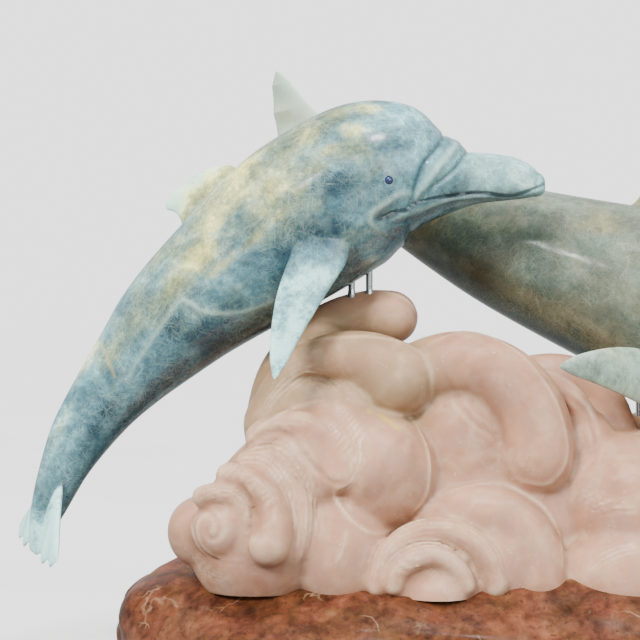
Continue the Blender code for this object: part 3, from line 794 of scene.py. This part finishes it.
def ridge_relief(mesh, points):
    """How far each point of the wave is carved out or in, in metres, and how much painted highlight its
    ridges get.
    """
    tree = BVHTree.FromPolygons([Vector(p) for p in points], [tuple(p.vertices) for p in mesh.polygons])
    lift, line = np.zeros(len(points)), np.zeros(len(points))
    for height, width, pale_and_highlight, echo, path in RIDGES.values():
        places = [seen_on(tree, x, z) for x, z in curve_through(path)]
        places = np.array([tuple(p) for p in places if p is not None]) / MM
        gap, along = distance_to(points / MM, places)
        profile = np.exp(-(gap / width) ** 2)
        if echo:
            profile = np.exp(-(gap / (2.0 * echo)) ** 2) * (0.5 + 0.5 * np.cos(2 * math.pi * gap / echo))
        profile *= fading(along, 0.5)
        lift += height * MM * profile
        # The painted highlight along each ridge
        line = np.maximum(line, pale_and_highlight * profile ** 1.5)
    return lift, line


def arc_of(curl):
    cx, cz, radius0, radius1, turn0, turn1, _, _, y0, y1 = curl
    t = np.linspace(0, 1, 30)
    angle = np.radians(turn0 + (turn1 - turn0) * t)
    radius = radius0 + (radius1 - radius0) * t
    return np.stack((cx + radius * np.cos(angle), y0 + (y1 - y0) * t, cz + radius * np.sin(angle)), axis=1)


def make_wave(finish):
    bm = bmesh.new()
    for curl in CURLS.values():
        loops = [[bm.verts.new(point) for point in ring] for ring in curl_rings(curl)]
        for below, above in zip(loops, loops[1:]):
            for i in range(ARM_SIDES):
                j = (i + 1) % ARM_SIDES
                bm.faces.new((below[i], below[j], above[j], above[i]))
        bm.faces.new(loops[0][::-1])
        bm.faces.new(loops[-1])
    for row in MASSES.values():
        made = bmesh.ops.create_icosphere(bm, subdivisions=MASS_DETAIL, radius=1)
        for vert in made["verts"]:
            vert.co = Vector(row[:3]) * MM + Vector([c * half * MM for c, half in zip(vert.co, row[3:])])
    wave = new_object("wave_carving", mesh_from("wave_carving", bm), finish)
    fuse = wave.modifiers.new("Fuse", "REMESH")
    fuse.mode = "VOXEL"
    fuse.voxel_size = WAVE_VOXEL
    soften = wave.modifiers.new("Soften", "SMOOTH")
    soften.iterations = WAVE_SMOOTHING
    settle(wave)
    mesh = wave.data
    points, outward = vectors(mesh), vectors(mesh, "normal")
    lift, line = ridge_relief(mesh, points)
    # Painted highlight along the carved ridges
    paint(mesh, "line", line)
    wander = [sum(noise.noise(Vector(p) * scale) * size for scale, size in WAVE_WANDER) for p in points]
    move_to(mesh, points + outward * (lift + np.array(wander) * MM)[:, None])
    bm = bmesh.new()
    bmesh.ops.create_cube(bm, size=1)
    bmesh.ops.scale(bm, verts=bm.verts, vec=(2, 2, 1))
    bmesh.ops.translate(bm, verts=bm.verts, vec=(0, 0, WAVE_SEAT - 0.5))
    combine(wave, new_object("below", mesh_from("below", bm)), "DIFFERENCE")

    mesh = wave.data
    points, outward = vectors(mesh), vectors(mesh, "normal")
    broad = neighbour_mean(mesh, points, 40)
    fine = neighbour_mean(mesh, points, 6)
    bulge = np.einsum("ij,ij->i", points - broad, outward) / MM
    edge = np.einsum("ij,ij->i", points - fine, outward) / MM
    # Painted shade in the hollows
    paint(mesh, "hollow", neighbour_mean(mesh, smoothstep(-0.1, -1.6, bulge), 3))
    # Painted highlight on the sharp crests
    paint(mesh, "crest", neighbour_mean(mesh, smoothstep(0.10, 0.5, edge), 1))
    gap, _ = distance_to(points / MM, arc_of(CURLS["front fold"]))
    paint(mesh, "green", smoothstep(*GREEN_GAP, gap) * smoothstep(*GREEN_START, points[:, 0]))
    glue = np.zeros(len(points))
    for start, end, size in GLUE:
        gap, _ = distance_to(points / MM, np.array((start, end), float))
        glue = np.maximum(glue, smoothstep(1.0, 0.35, gap / size))
    paint(mesh, "glue", glue)
    smooth_shade(wave, 60)
    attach(wave, "root")
    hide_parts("wave")


def make_stone(finish):
    bm = bmesh.new()
    bmesh.ops.create_icosphere(bm, subdivisions=STONE_DETAIL, radius=1)
    for vert in bm.verts:
        lump = sum(size * noise.noise(vert.co * scale + Vector(shift)) for size, scale, shift in STONE_LUMPS)
        reach = (1 + lump) * sum(abs(c) ** STONE_SQUARENESS for c in vert.co) ** (-1 / STONE_SQUARENESS)
        rise = 1 - STONE_FRONT_FALL * min(max(-vert.co.y, 0), 1)
        vert.co = Vector((
            vert.co.x * reach * STONE_LENGTH / 2,
            vert.co.y * reach * STONE_DEPTH / 2,
            vert.co.z * reach * STONE_HEIGHT * rise,
        ))
    cut = bmesh.ops.bisect_plane(bm, geom=bm.verts[:] + bm.edges[:] + bm.faces[:], plane_co=(0, 0, 0),
                                 plane_no=(0, 0, -1), clear_outer=True)
    rim = [piece for piece in cut["geom_cut"] if isinstance(piece, bmesh.types.BMEdge)]
    bmesh.ops.contextual_create(bm, geom=rim)
    stone = new_object("natural_stone", mesh_from("natural_stone", bm), finish)
    smooth_shade(stone, 50)
    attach(stone, "root")
    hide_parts("base_stone")


class Nodes:
    """The node tree of a material or world being put together."""

    def __init__(self, owner):
        owner.use_nodes = True
        self.tree = owner.node_tree

    def node(self, kind, inputs=(), **settings):
        made = self.tree.nodes.new("ShaderNode" + kind)
        for key, value in settings.items():
            setattr(made, key, value)
        for key, value in dict(inputs).items():
            self.set(made.inputs[key], value)
        return made

    def set(self, socket, value):
        if isinstance(value, bpy.types.NodeSocket):
            self.tree.links.new(value, socket)
        else:
            socket.default_value = value


class Finish(Nodes):
    """A stone or metal finish being put together."""

    def __init__(self, name, shader):
        self.material = bpy.data.materials.new(name)
        super().__init__(self.material)
        self.shader = self.tree.nodes["Principled BSDF"]
        for key, value in shader.items():
            self.shader.inputs[key].default_value = value
        self.here = self.node("TexCoord").outputs["Object"]

    def attribute(self, name):
        return self.node("Attribute", attribute_name=name).outputs["Fac"]

    def maths(self, operation, a, b=0.0):
        return self.node("Math", {0: a, 1: b}, operation=operation).outputs[0]

    def vector_maths(self, operation, a, b):
        return self.node("VectorMath", {0: a, 1: b}, operation=operation).outputs[0]

    def total(self, *values):
        found = values[0]
        for value in values[1:]:
            found = self.maths("ADD", found, value)
        return found

    def times(self, *values):
        found = values[0]
        for value in values[1:]:
            found = self.maths("MULTIPLY", found, value)
        return found

    def span(self, value, low, high, start=0.0, end=1.0):
        """The value's range from low to high, moved smoothly to start and end."""
        inputs = {"Value": value, "From Min": low, "From Max": high, "To Min": start, "To Max": end}
        return self.node("MapRange", inputs, interpolation_type="SMOOTHSTEP").outputs["Result"]

    def swing(self, value, amount):
        """How far the value is from one half, times this amount."""
        return self.times(self.maths("SUBTRACT", value, 0.5), amount)

    def cloud(self, size, detail=5, roughness=0.55, warp=0.0, where=None, shift=0.0):
        """Soft noise whose features are about this many metres across."""
        vector = where or self.here
        if shift:
            vector = self.vector_maths("ADD", vector, (shift, shift * 0.7, -shift))
        inputs = {"Vector": vector, "Scale": 1 / size, "Detail": detail, "Roughness": roughness,
                  "Distortion": warp}
        return self.node("TexNoise", inputs).outputs["Fac"]

    def warped(self, size, amount):
        """Places pushed about by noise of this size, by about this many metres."""
        push = self.node("TexNoise", {"Vector": self.here, "Scale": 1 / size, "Detail": 3.0}).outputs["Color"]
        push = self.vector_maths("SUBTRACT", push, (0.5, 0.5, 0.5))
        push = self.node("VectorMath", {0: push, "Scale": amount * 2}, operation="SCALE").outputs[0]
        return self.vector_maths("ADD", self.here, push)

    def fibres(self, where, turn, scale, low, high):
        """Fine straight streaks that run one way."""
        turned = self.stretched(where, turn, scale)
        return self.span(self.cloud(1.0, 2.0, 0.6, where=turned), low, high)

    def stretched(self, where, turn, scale):
        """Places turned and stretched, so that noise on them runs in streaks."""
        inputs = {"Vector": where, "Rotation": turn, "Scale": scale}
        return self.node("Mapping", inputs, vector_type="TEXTURE").outputs[0]

    def veins(self, size, width, warp_size, warp):
        """Thin wandering lines between cells of this size."""
        cells = self.node("TexVoronoi", {"Vector": self.warped(warp_size, warp), "Scale": 1 / size},
                          feature="DISTANCE_TO_EDGE").outputs["Distance"]
        return self.span(cells, width, width * 0.15)

    def wisps(self, size, width):
        """Broad wandering lines that come and go."""
        return self.times(self.veins(size, width, 0.030, 0.030),
                          self.span(self.cloud(0.022, 6, 0.65, 0.8, shift=9.0), 0.42, 0.62))

    def polish(self, size, low, high):
        """Roughness that wanders between two values."""
        return self.span(self.cloud(size, 5, 0.6, shift=6.0), 0.3, 0.7, low, high)

    def ramp(self, value, stops):
        made = self.node("ValToRGB", {0: value})
        row = made.color_ramp.elements
        while len(row) < len(stops):
            row.new(0.5)
        for element, (place, colour) in zip(row, stops):
            element.position = place
            element.color = (*colour, 1)
        return made.outputs["Color"]

    def even_ramp(self, value, colours):
        """A ramp whose colours are evenly spaced from 0 to 1."""
        return self.ramp(value, [(i / (len(colours) - 1), colour) for i, colour in enumerate(colours)])

    def mix(self, factor, a, b, kind="MIX"):
        a, b = (value if isinstance(value, bpy.types.NodeSocket) else (*value, 1) for value in (a, b))
        return self.node("Mix", {0: factor, 6: a, 7: b}, data_type="RGBA", blend_type=kind).outputs[2]

    def done(self, colour, roughness, bumps=()):
        self.set(self.shader.inputs["Base Color"], colour)
        self.set(self.shader.inputs["Roughness"], roughness)
        normal = None
        for height, strength, distance in bumps:
            bump = self.node("Bump", {"Height": height, "Strength": strength, "Distance": distance})
            if normal:
                self.set(bump.inputs["Normal"], normal)
            normal = bump.outputs["Normal"]
        if normal:
            self.set(self.shader.inputs["Normal"], normal)
        return self.material


# Directions of the fibres in degrees, turned across the view and tilted out of it, and their two sizes
FIBRE_TURNS = ((4, 10), (33, -14), (63, 22), (92, -6), (121, 16), (152, -20))
FIBRE_SIZES = ((0.015, 0.006, 0.0012), (0.009, 0.004, 0.0007))


def aquamarine(name, lie, cool, warm, warmth, pale_and_highlight, deep_and_shade, haze, gain, base, fin_lift):
    """Polished clouded stone with crossing fibres, warmer along its cream streaks and cool elsewhere, with
    painted highlights and painted shade from its patches and carved lines.
    """
    f = Finish(name, {"IOR": 1.5, "Subsurface Weight": 0.10, "Subsurface Radius": (0.6, 1.0, 1.0),
                      "Subsurface Scale": 0.005})
    along = f.stretched(f.warped(0.050, 0.010), (0, math.radians(lie), 0), (0.060, 0.020, 0.020))
    tone = f.total(
        f.times(f.cloud(0.048, 7, 0.62, 0.9), 0.36),
        f.times(f.cloud(1.0, 6, 0.62, where=along), 0.20),
        f.times(f.cloud(0.015, 6, 0.68, 0.4, shift=3.1), 0.24),
        f.times(f.cloud(0.0046, 4, 0.75, shift=5.5), 0.20),
    )
    tone = f.total(
        f.swing(tone, gain),
        base,
        # Lighter towards the back and darker towards the belly: painted light and shade as from above
        f.times(f.attribute("rise"), 0.05),
        # Paler stone and painted highlights from the light patches
        f.times(f.attribute("light"), 0.32),
        # Darker stone and painted shade from the deep patches
        f.times(f.attribute("deep_and_shade"), -0.38),
        f.times(f.attribute("fin"), fin_lift),
        f.times(f.attribute("beak"), 0.24),
    )
    heat = f.total(
        f.swing(f.cloud(0.040, 6, 0.62, 0.6, shift=7.7), 1.4),
        f.swing(f.cloud(1.0, 5, 0.6, where=along, shift=2.3), 1.2),
        f.times(f.attribute("cream"), 0.90),
        f.times(f.attribute("fin"), -0.30),
        f.times(f.attribute("beak"), 0.30),
        f.span(f.attribute("share"), 0.735, 0.80, 0.0, -0.40),
        f.span(f.attribute("share"), 0.20, 0.40, -0.30, 0.0),
        warmth,
    )
    colour = f.mix(f.span(heat, 0.10, 1.15), f.even_ramp(tone, cool), f.even_ramp(tone, warm))
    # Painted highlight along the raised carved lines, and the beak's own paler stone
    lines = f.times(f.attribute("pale_and_highlight"), 0.8)
    colour = f.mix(f.maths("MAXIMUM", lines, f.times(f.attribute("beak"), 0.15)), colour, pale_and_highlight)
    fibre = None
    bent = f.warped(0.045, 0.004)
    for turn, tilt in FIBRE_TURNS:
        turned = (0, math.radians(turn), math.radians(tilt))
        broad, fine = (f.fibres(bent, turned, size, 0.56, 0.72) for size in FIBRE_SIZES)
        field = f.maths("MAXIMUM", broad, f.times(fine, 0.8))
        fibre = f.maths("MAXIMUM", fibre, field) if fibre else field
    fibre = f.times(fibre, f.span(f.cloud(0.030, 5, 0.6, shift=1.4), 0.34, 0.60, 0.25, 1.0))
    colour = f.mix(fibre, colour, haze, "ADD")
    colour = f.mix(f.times(f.wisps(0.060, 0.16), 0.35), colour, haze, "ADD")
    specks = f.span(f.cloud(0.0030, 2, 0.5, shift=4.0), 0.66, 0.76)
    colour = f.mix(f.times(specks, 0.35), colour, deep_and_shade)
    colour = f.mix(f.times(f.attribute("crack"), 0.6), colour, (0.42, 0.34, 0.14))
    # Painted shade in the carved grooves
    colour = f.mix(f.attribute("groove_shade"), colour, deep_and_shade)
    bumps = ((f.cloud(0.012, 3, shift=8.0), 0.15, 0.0006), (f.cloud(0.0022, 3, shift=2.9), 0.12, 0.0003))
    return f.done(colour, f.polish(0.018, 0.10, 0.24), bumps)


def rose_quartz():
    """Milky pink stone, with painted highlights along its ridges and painted shade in its hollows."""
    f = Finish("rose_quartz", {"IOR": 1.45, "Subsurface Weight": 0.20, "Subsurface Radius": (1.0, 0.70, 0.58),
                               "Subsurface Scale": 0.008})
    tone = f.total(f.times(f.cloud(0.070, 6, 0.58, 0.8), 0.6),
                   f.times(f.cloud(0.020, 6, 0.6, 0.3, shift=3.0), 0.4))
    colour = f.ramp(tone, ((0.32, (0.285, 0.138, 0.084)), (0.46, (0.370, 0.184, 0.112)),
                           (0.56, (0.435, 0.226, 0.140)), (0.70, (0.520, 0.292, 0.186))))
    lilac = f.span(f.cloud(0.035, 5, 0.6, 0.5, shift=11.3), 0.48, 0.66, 0.0, 0.55)
    colour = f.mix(lilac, colour, (0.360, 0.212, 0.160))
    # Painted shade in the hollows
    colour = f.mix(f.times(f.attribute("hollow"), 0.45), colour, (0.250, 0.138, 0.085))
    green = f.times(f.attribute("green"), f.span(f.cloud(0.030, 4, shift=5.0), 0.30, 0.60, 0.35, 0.80))
    colour = f.mix(green, colour, (0.290, 0.205, 0.105))
    colour = f.mix(f.times(f.wisps(0.050, 0.18), 0.40), colour, (0.500, 0.350, 0.230))
    cracks = f.times(f.veins(0.080, 0.010, 0.045, 0.030), f.span(f.cloud(0.030, 4, shift=2.6), 0.54, 0.62))
    colour = f.mix(f.times(cracks, 0.15), colour, (0.560, 0.430, 0.320))
    # Painted highlight along the carved ridges and sharp crests
    ridge_highlight = f.maths("MAXIMUM", f.attribute("line"), f.times(f.attribute("crest"), 0.6))
    ridge_highlight = f.times(ridge_highlight, f.span(f.cloud(0.010, 4, shift=1.7), 0.30, 0.60, 0.35, 1.0))
    colour = f.mix(f.times(ridge_highlight, 0.85), colour, (0.720, 0.550, 0.380))
    chips = f.times(f.span(f.cloud(0.0024, 2, shift=4.3), 0.66, 0.72),
                    f.span(f.cloud(0.020, 3, shift=6.1), 0.45, 0.6))
    colour = f.mix(f.times(chips, 0.5), colour, (0.640, 0.520, 0.420))
    colour = f.mix(f.times(f.attribute("glue"), 0.85), colour, (0.520, 0.340, 0.090))
    bumps = ((f.cloud(0.009, 4, shift=8.0), 0.20, 0.0008), (f.cloud(0.0018, 3, shift=3.5), 0.12, 0.0003))
    return f.done(colour, f.polish(0.014, 0.28, 0.46), bumps)


def brown_stone():
    """Mottled red brown stone with a worn polish."""
    f = Finish("brown_stone", {"IOR": 1.5, "Specular IOR Level": 0.15})
    tone = f.total(f.times(f.cloud(0.050, 6, 0.62, 1.2), 0.5),
                   f.times(f.cloud(0.012, 6, 0.65, 0.4, shift=2.0), 0.5))
    colour = f.ramp(tone, ((0.32, (0.018, 0.005, 0.002)), (0.44, (0.056, 0.018, 0.008)),
                           (0.55, (0.115, 0.038, 0.017)), (0.70, (0.210, 0.080, 0.040))))
    cells = f.node("TexVoronoi", {"Vector": f.warped(0.02, 0.01), "Scale": 60.0}).outputs["Color"]
    colour = f.mix(0.10, colour, cells, "SOFT_LIGHT")
    cracks = f.times(f.veins(0.060, 0.02, 0.03, 0.025), f.span(f.cloud(0.04, 4, shift=9.0), 0.50, 0.62))
    colour = f.mix(f.times(cracks, 0.5), colour, (0.28, 0.17, 0.10))
    specks = f.span(f.cloud(0.004, 3, shift=4.0), 0.60, 0.70)
    colour = f.mix(f.times(specks, 0.6), colour, (0.020, 0.010, 0.008))
    bumps = ((f.cloud(0.010, 4, shift=8.0), 0.25, 0.001), (f.cloud(0.002, 3, shift=3.5), 0.15, 0.0004))
    return f.done(colour, f.polish(0.016, 0.20, 0.42), bumps)


def polished_steel():
    f = Finish("polished_steel", {"Metallic": 1.0})
    turning = f.cloud(1.0, 3, where=f.stretched(f.here, (0, 0, 0), (0.02, 0.02, 0.0004)))
    colour = f.ramp(turning, ((0.3, (0.50, 0.50, 0.51)), (0.7, (0.72, 0.72, 0.71))))
    return f.done(colour, f.span(turning, 0.3, 0.7, 0.12, 0.26), ((turning, 0.1, 0.0002),))


def sapphire():
    f = Finish("sapphire", {"IOR": 1.77, "Coat Weight": 1.0, "Coat Roughness": 0.02, "Subsurface Weight": 0.1,
                            "Subsurface Scale": 0.002})
    tone = f.cloud(0.003, 4, 0.6, 0.5)
    colour = f.ramp(tone, ((0.3, (0.002, 0.004, 0.04)), (0.7, (0.008, 0.020, 0.16))))
    return f.done(colour, f.span(tone, 0.3, 0.7, 0.03, 0.09))


def floor_finish():
    f = Finish("pale_floor", {"Specular IOR Level": 0.2})
    tone = f.cloud(0.35, 4)
    colour = f.ramp(tone, ((0.3, (0.71, 0.71, 0.705)), (0.7, (0.74, 0.74, 0.735))))
    return f.done(colour, f.span(tone, 0.3, 0.7, 0.65, 0.75))


def lamp(name, place, aim, size, power):
    """A small square lamp for highlights."""
    light = bpy.data.lights.new(name, "AREA")
    light.energy = power
    light.size = size
    hang(name, light, place, aim)


def sun(name, place, strength, spread, colour, mirrored=True):
    """Even light that comes from this side, softened by a spread in degrees."""
    light = bpy.data.lights.new(name, "SUN")
    light.energy = strength
    light.angle = math.radians(spread)
    light.color = colour
    hang(name, light, place, (0, 0, 0)).visible_glossy = mirrored


def hang(name, light, place, aim):
    obj = bpy.data.objects.new(name, light)
    obj.location = place
    obj.rotation_euler = (Vector(aim) - Vector(place)).to_track_quat("-Z", "Y").to_euler()
    bpy.context.scene.collection.objects.link(obj)
    return obj


# Soft patches of each dolphin in percent: place along, rise from belly -100 to back 100, half sizes, strength
# The light patches are paler stone with painted highlights, and the deep patches darker stone with painted
# shade along the belly
FRONT_SPOTS = {
    "cream": (
        (60, 80, 15, 50, 80), (60, 35, 7, 30, 60), (72.9, 40.4, 3, 14, 70), (55, 110, 9, 12, 100),
        (60.6, 93, 3.5, 17, 100), (57.5, 79, 3.5, 17, 100), (53.1, 67, 4, 18, 100),
        (48.1, 49, 4.5, 20, 100), (43, 42, 5, 22, 80), (76.6, 87, 1.8, 14, 100), (74.3, 63, 1.8, 12, 100),
        (71.1, 49, 2, 10, 90), (68, 37, 2.2, 8, 90), (64.9, 27.5, 2.4, 8, 90), (61, 20, 2.6, 8, 90),
        (56, 17, 3, 8, 90), (50.5, 16, 3.5, 8, 80), (70, 78, 3, 20, 90), (74, 90, 2, 16, 80),
        (65, 66, 4, 16, 60), (33, 60, 6, 30, 50), (18, 80, 6, 30, 60), (27, 97, 5, 20, 80),
    ),
    # Paler stone and painted highlights
    "light": (
        (60.6, 93, 3, 15, 90), (57.5, 79, 3, 15, 90), (53.1, 67, 3.5, 16, 90), (48.1, 49, 4, 18, 80),
        (74.3, 63, 1.6, 11, 90), (71.1, 49, 1.8, 9, 80), (64.9, 27.5, 2.2, 7, 70), (58.9, 18.5, 2.4, 7, 70),
        (53, 16.5, 2.8, 7, 60), (82, 55, 2.2, 25, 80), (84, 10, 3.5, 90, 90), (59, 42, 7, 28, 70),
        (78.5, -35, 3, 20, 60), (48, 10, 6, 25, 30), (80, 85, 3, 25, 50), (68.3, -80, 1.6, 14, 90),
        (52.8, -53, 3, 10, 80), (76.6, 87, 1.6, 13, 80), (76, -55, 3, 10, 70), (18, 75, 4, 20, 50),
        (27, 97, 5, 12, 60), (4, -30, 4, 120, 60),
    ),
    # Darker stone, and painted shade along the belly
    "deep_and_shade": (
        (72.9, 40.4, 2.5, 12, 60), (72.5, 82, 3.5, 16, 50), (66, 21, 2.2, 10, 70), (69, 10, 2.8, 14, 100),
        (71.1, 14, 2, 12, 80), (63.4, -10, 3, 14, 100), (65, -30, 3, 14, 100), (60.8, -20, 3, 12, 80),
        (78.5, 36, 1.8, 12, 80), (56.8, -46, 2.2, 10, 90), (40, 0, 3, 20, 80), (41.1, -43, 4, 20, 100),
        (42.8, -80, 5, 18, 90), (35.5, -6, 3, 18, 70), (33, -62, 4.5, 20, 100), (24.1, -16, 2.8, 24, 100),
        (20, -18, 2.8, 24, 100), (17, -10, 2.5, 30, 90), (29, -66, 4, 20, 90), (66.7, 86, 2.5, 14, 70),
        (72.2, 80, 1.8, 12, 50), (55.5, 42, 2.6, 14, 70), (56, 28, 2, 7, 40), (77, -88, 6, 18, 90),
        (62, -90, 6, 18, 80), (48, -90, 12, 22, 100), (10, -10, 6, 50, 50),
    ),
}
REAR_SPOTS = {
    "cream": (
        (57, 110, 12, 12, 100), (27.6, 0, 2, 50, 90), (28.3, 40, 2, 30, 70), (27.6, -55, 2, 25, 80),
        (3, 0, 8, 150, 100), (47.3, -55, 6, 18, 80), (41.8, -48, 5, 18, 70), (37.4, -40, 5, 18, 60),
        (49.1, 70, 2, 10, 100), (10, 30, 8, 90, 80), (53.5, -62, 4, 20, 70),
    ),
    # Paler stone and painted highlights
    "light": (
        (48.8, 60, 3, 20, 30), (52, 45, 3, 25, 40), (54.4, 15, 3, 25, 50), (64, 30, 7, 60, 40),
        (80, 20, 6, 80, 50), (47.3, 18, 2, 16, 30), (30, -20, 5, 80, 45), (10, 30, 8, 90, 60),
    ),
    # Darker stone, and painted shade along the belly
    "deep_and_shade": (
        (32.1, -5, 2.6, 24, 60), (33.5, 19, 2.8, 20, 50), (40.3, 32, 2.6, 22, 50), (42.7, 15, 2.2, 20, 60),
        (43.7, -28, 2.2, 18, 50), (50, -66, 3.5, 16, 50), (41.8, -66, 6, 12, 60), (51, -36, 2.2, 16, 40),
        (52, 20, 1.4, 10, 50), (34.5, -60, 6, 12, 60), (50, -95, 12, 12, 80),
    ),
}
FRONT_COOL = ((0.008, 0.034, 0.054), (0.024, 0.074, 0.102), (0.058, 0.148, 0.178),
              (0.125, 0.295, 0.335), (0.4, 0.74, 0.69))
FRONT_WARM = ((0.026, 0.046, 0.034), (0.08, 0.108, 0.062), (0.185, 0.205, 0.09),
              (0.44, 0.425, 0.14), (0.86, 0.8, 0.26))
REAR_COOL = ((0.022, 0.044, 0.038), (0.036, 0.06, 0.05), (0.062, 0.086, 0.068),
             (0.13, 0.175, 0.138), (0.36, 0.48, 0.38))
REAR_WARM = ((0.04, 0.034, 0.02), (0.06, 0.055, 0.033), (0.098, 0.094, 0.056),
             (0.205, 0.195, 0.105), (0.52, 0.48, 0.22))

front_stone = aquamarine("front_aquamarine", lie=-42, cool=FRONT_COOL, warm=FRONT_WARM, warmth=0.24,
                         pale_and_highlight=(0.520, 0.700, 0.560), deep_and_shade=(0.006, 0.018, 0.028), haze=(0.110, 0.140, 0.115),
                         gain=3.5, base=0.46, fin_lift=0.60)
rear_stone = aquamarine("rear_aquamarine", lie=20, cool=REAR_COOL, warm=REAR_WARM, warmth=0.40,
                        pale_and_highlight=(0.330, 0.420, 0.330), deep_and_shade=(0.010, 0.016, 0.010), haze=(0.072, 0.080, 0.056),
                        gain=1.7, base=0.52, fin_lift=0.50)
blue_stone = sapphire()
front_top = curl_top("front crest") + FRONT_LIFT
rear_top = curl_top("rear crest") + REAR_LIFT
front_spine = Spine(FRONT_LENGTH, FRONT_POSE, FRONT_HOLD_SHARE, (*FRONT_HOLD, front_top))
front_dolphin = make_dolphin("front_dolphin", front_spine, FRONT_RINGS, FRONT_SPOTS, front_stone, blue_stone)
rear_spine = Spine(REAR_LENGTH, REAR_POSE, REAR_HOLD_SHARE, (*REAR_HOLD, rear_top))
rear_dolphin = make_dolphin("rear_dolphin", rear_spine, REAR_RINGS, REAR_SPOTS, rear_stone, blue_stone)
make_wave(rose_quartz())
make_stone(brown_stone())
steel = polished_steel()
for name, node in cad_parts.items():
    if name.endswith("_pin"):
        node.data.materials[0] = steel

corners = [(x * FLOOR_REACH, y * FLOOR_REACH, 0) for x, y in ((-1, -1), (1, -1), (1, 1), (-1, 1))]
floor_mesh = mesh_of("floor", corners, [(0, 1, 2, 3)])
floor = new_object("floor", floor_mesh, floor_finish())
floor.visible_diffuse = False
floor.visible_glossy = False

# The studio is a pale backdrop, with a surround that lights the work less from below
world = bpy.data.worlds.new("studio")
sky = Nodes(world)
surround = sky.tree.nodes["Background"]
surround.inputs["Color"].default_value = (0.92, 0.97, 1.0, 1)
towards = sky.node("SeparateXYZ", {0: sky.node("TexCoord").outputs["Generated"]})
fade = {"Value": towards.outputs["Z"], "From Min": -0.5, "From Max": 0.3, "To Min": 0.50, "To Max": 0.92}
sky.set(surround.inputs["Strength"], sky.node("MapRange", fade).outputs["Result"])
backdrop = sky.node("Background", {"Color": (1.0, 1.0, 0.995, 1), "Strength": 2.36})
seen = sky.node("LightPath").outputs["Is Camera Ray"]
either = sky.node("MixShader", {0: seen, 1: surround.outputs[0], 2: backdrop.outputs[0]})
sky.set(sky.tree.nodes["World Output"].inputs["Surface"], either.outputs[0])
bpy.context.scene.world = world
sun("overhead", (-0.3, 0.1, 2.0), 5.0, 90, (1.0, 1.0, 0.98), mirrored=False)
sun("front left", (-1.2, -2.0, 1.5), 5.4, 14, (1.0, 0.985, 0.95), mirrored=False)
sun("front right", (1.8, -2.0, 0.8), 1.3, 40, (0.94, 0.98, 1.0))
lamp("highlight", (0.15, -1.0, 1.9), (-0.1, 0, 0.35), 0.20, 14)
lamp("glint", (-1.0, -1.9, 1.5), (-0.1, 0, 0.3), 0.12, 3)

camera = bpy.data.objects.new("camera", bpy.data.cameras.new("camera"))
camera.location = EYE_POINT
camera.rotation_euler = (math.pi / 2, 0, 0)
camera.data.sensor_width = SENSOR
camera.data.lens = SENSOR * -EYE_POINT[1] / VIEW_SIZE
camera.data.clip_end = VIEW_REACH
bpy.context.scene.collection.objects.link(camera)
bpy.context.scene.camera = camera
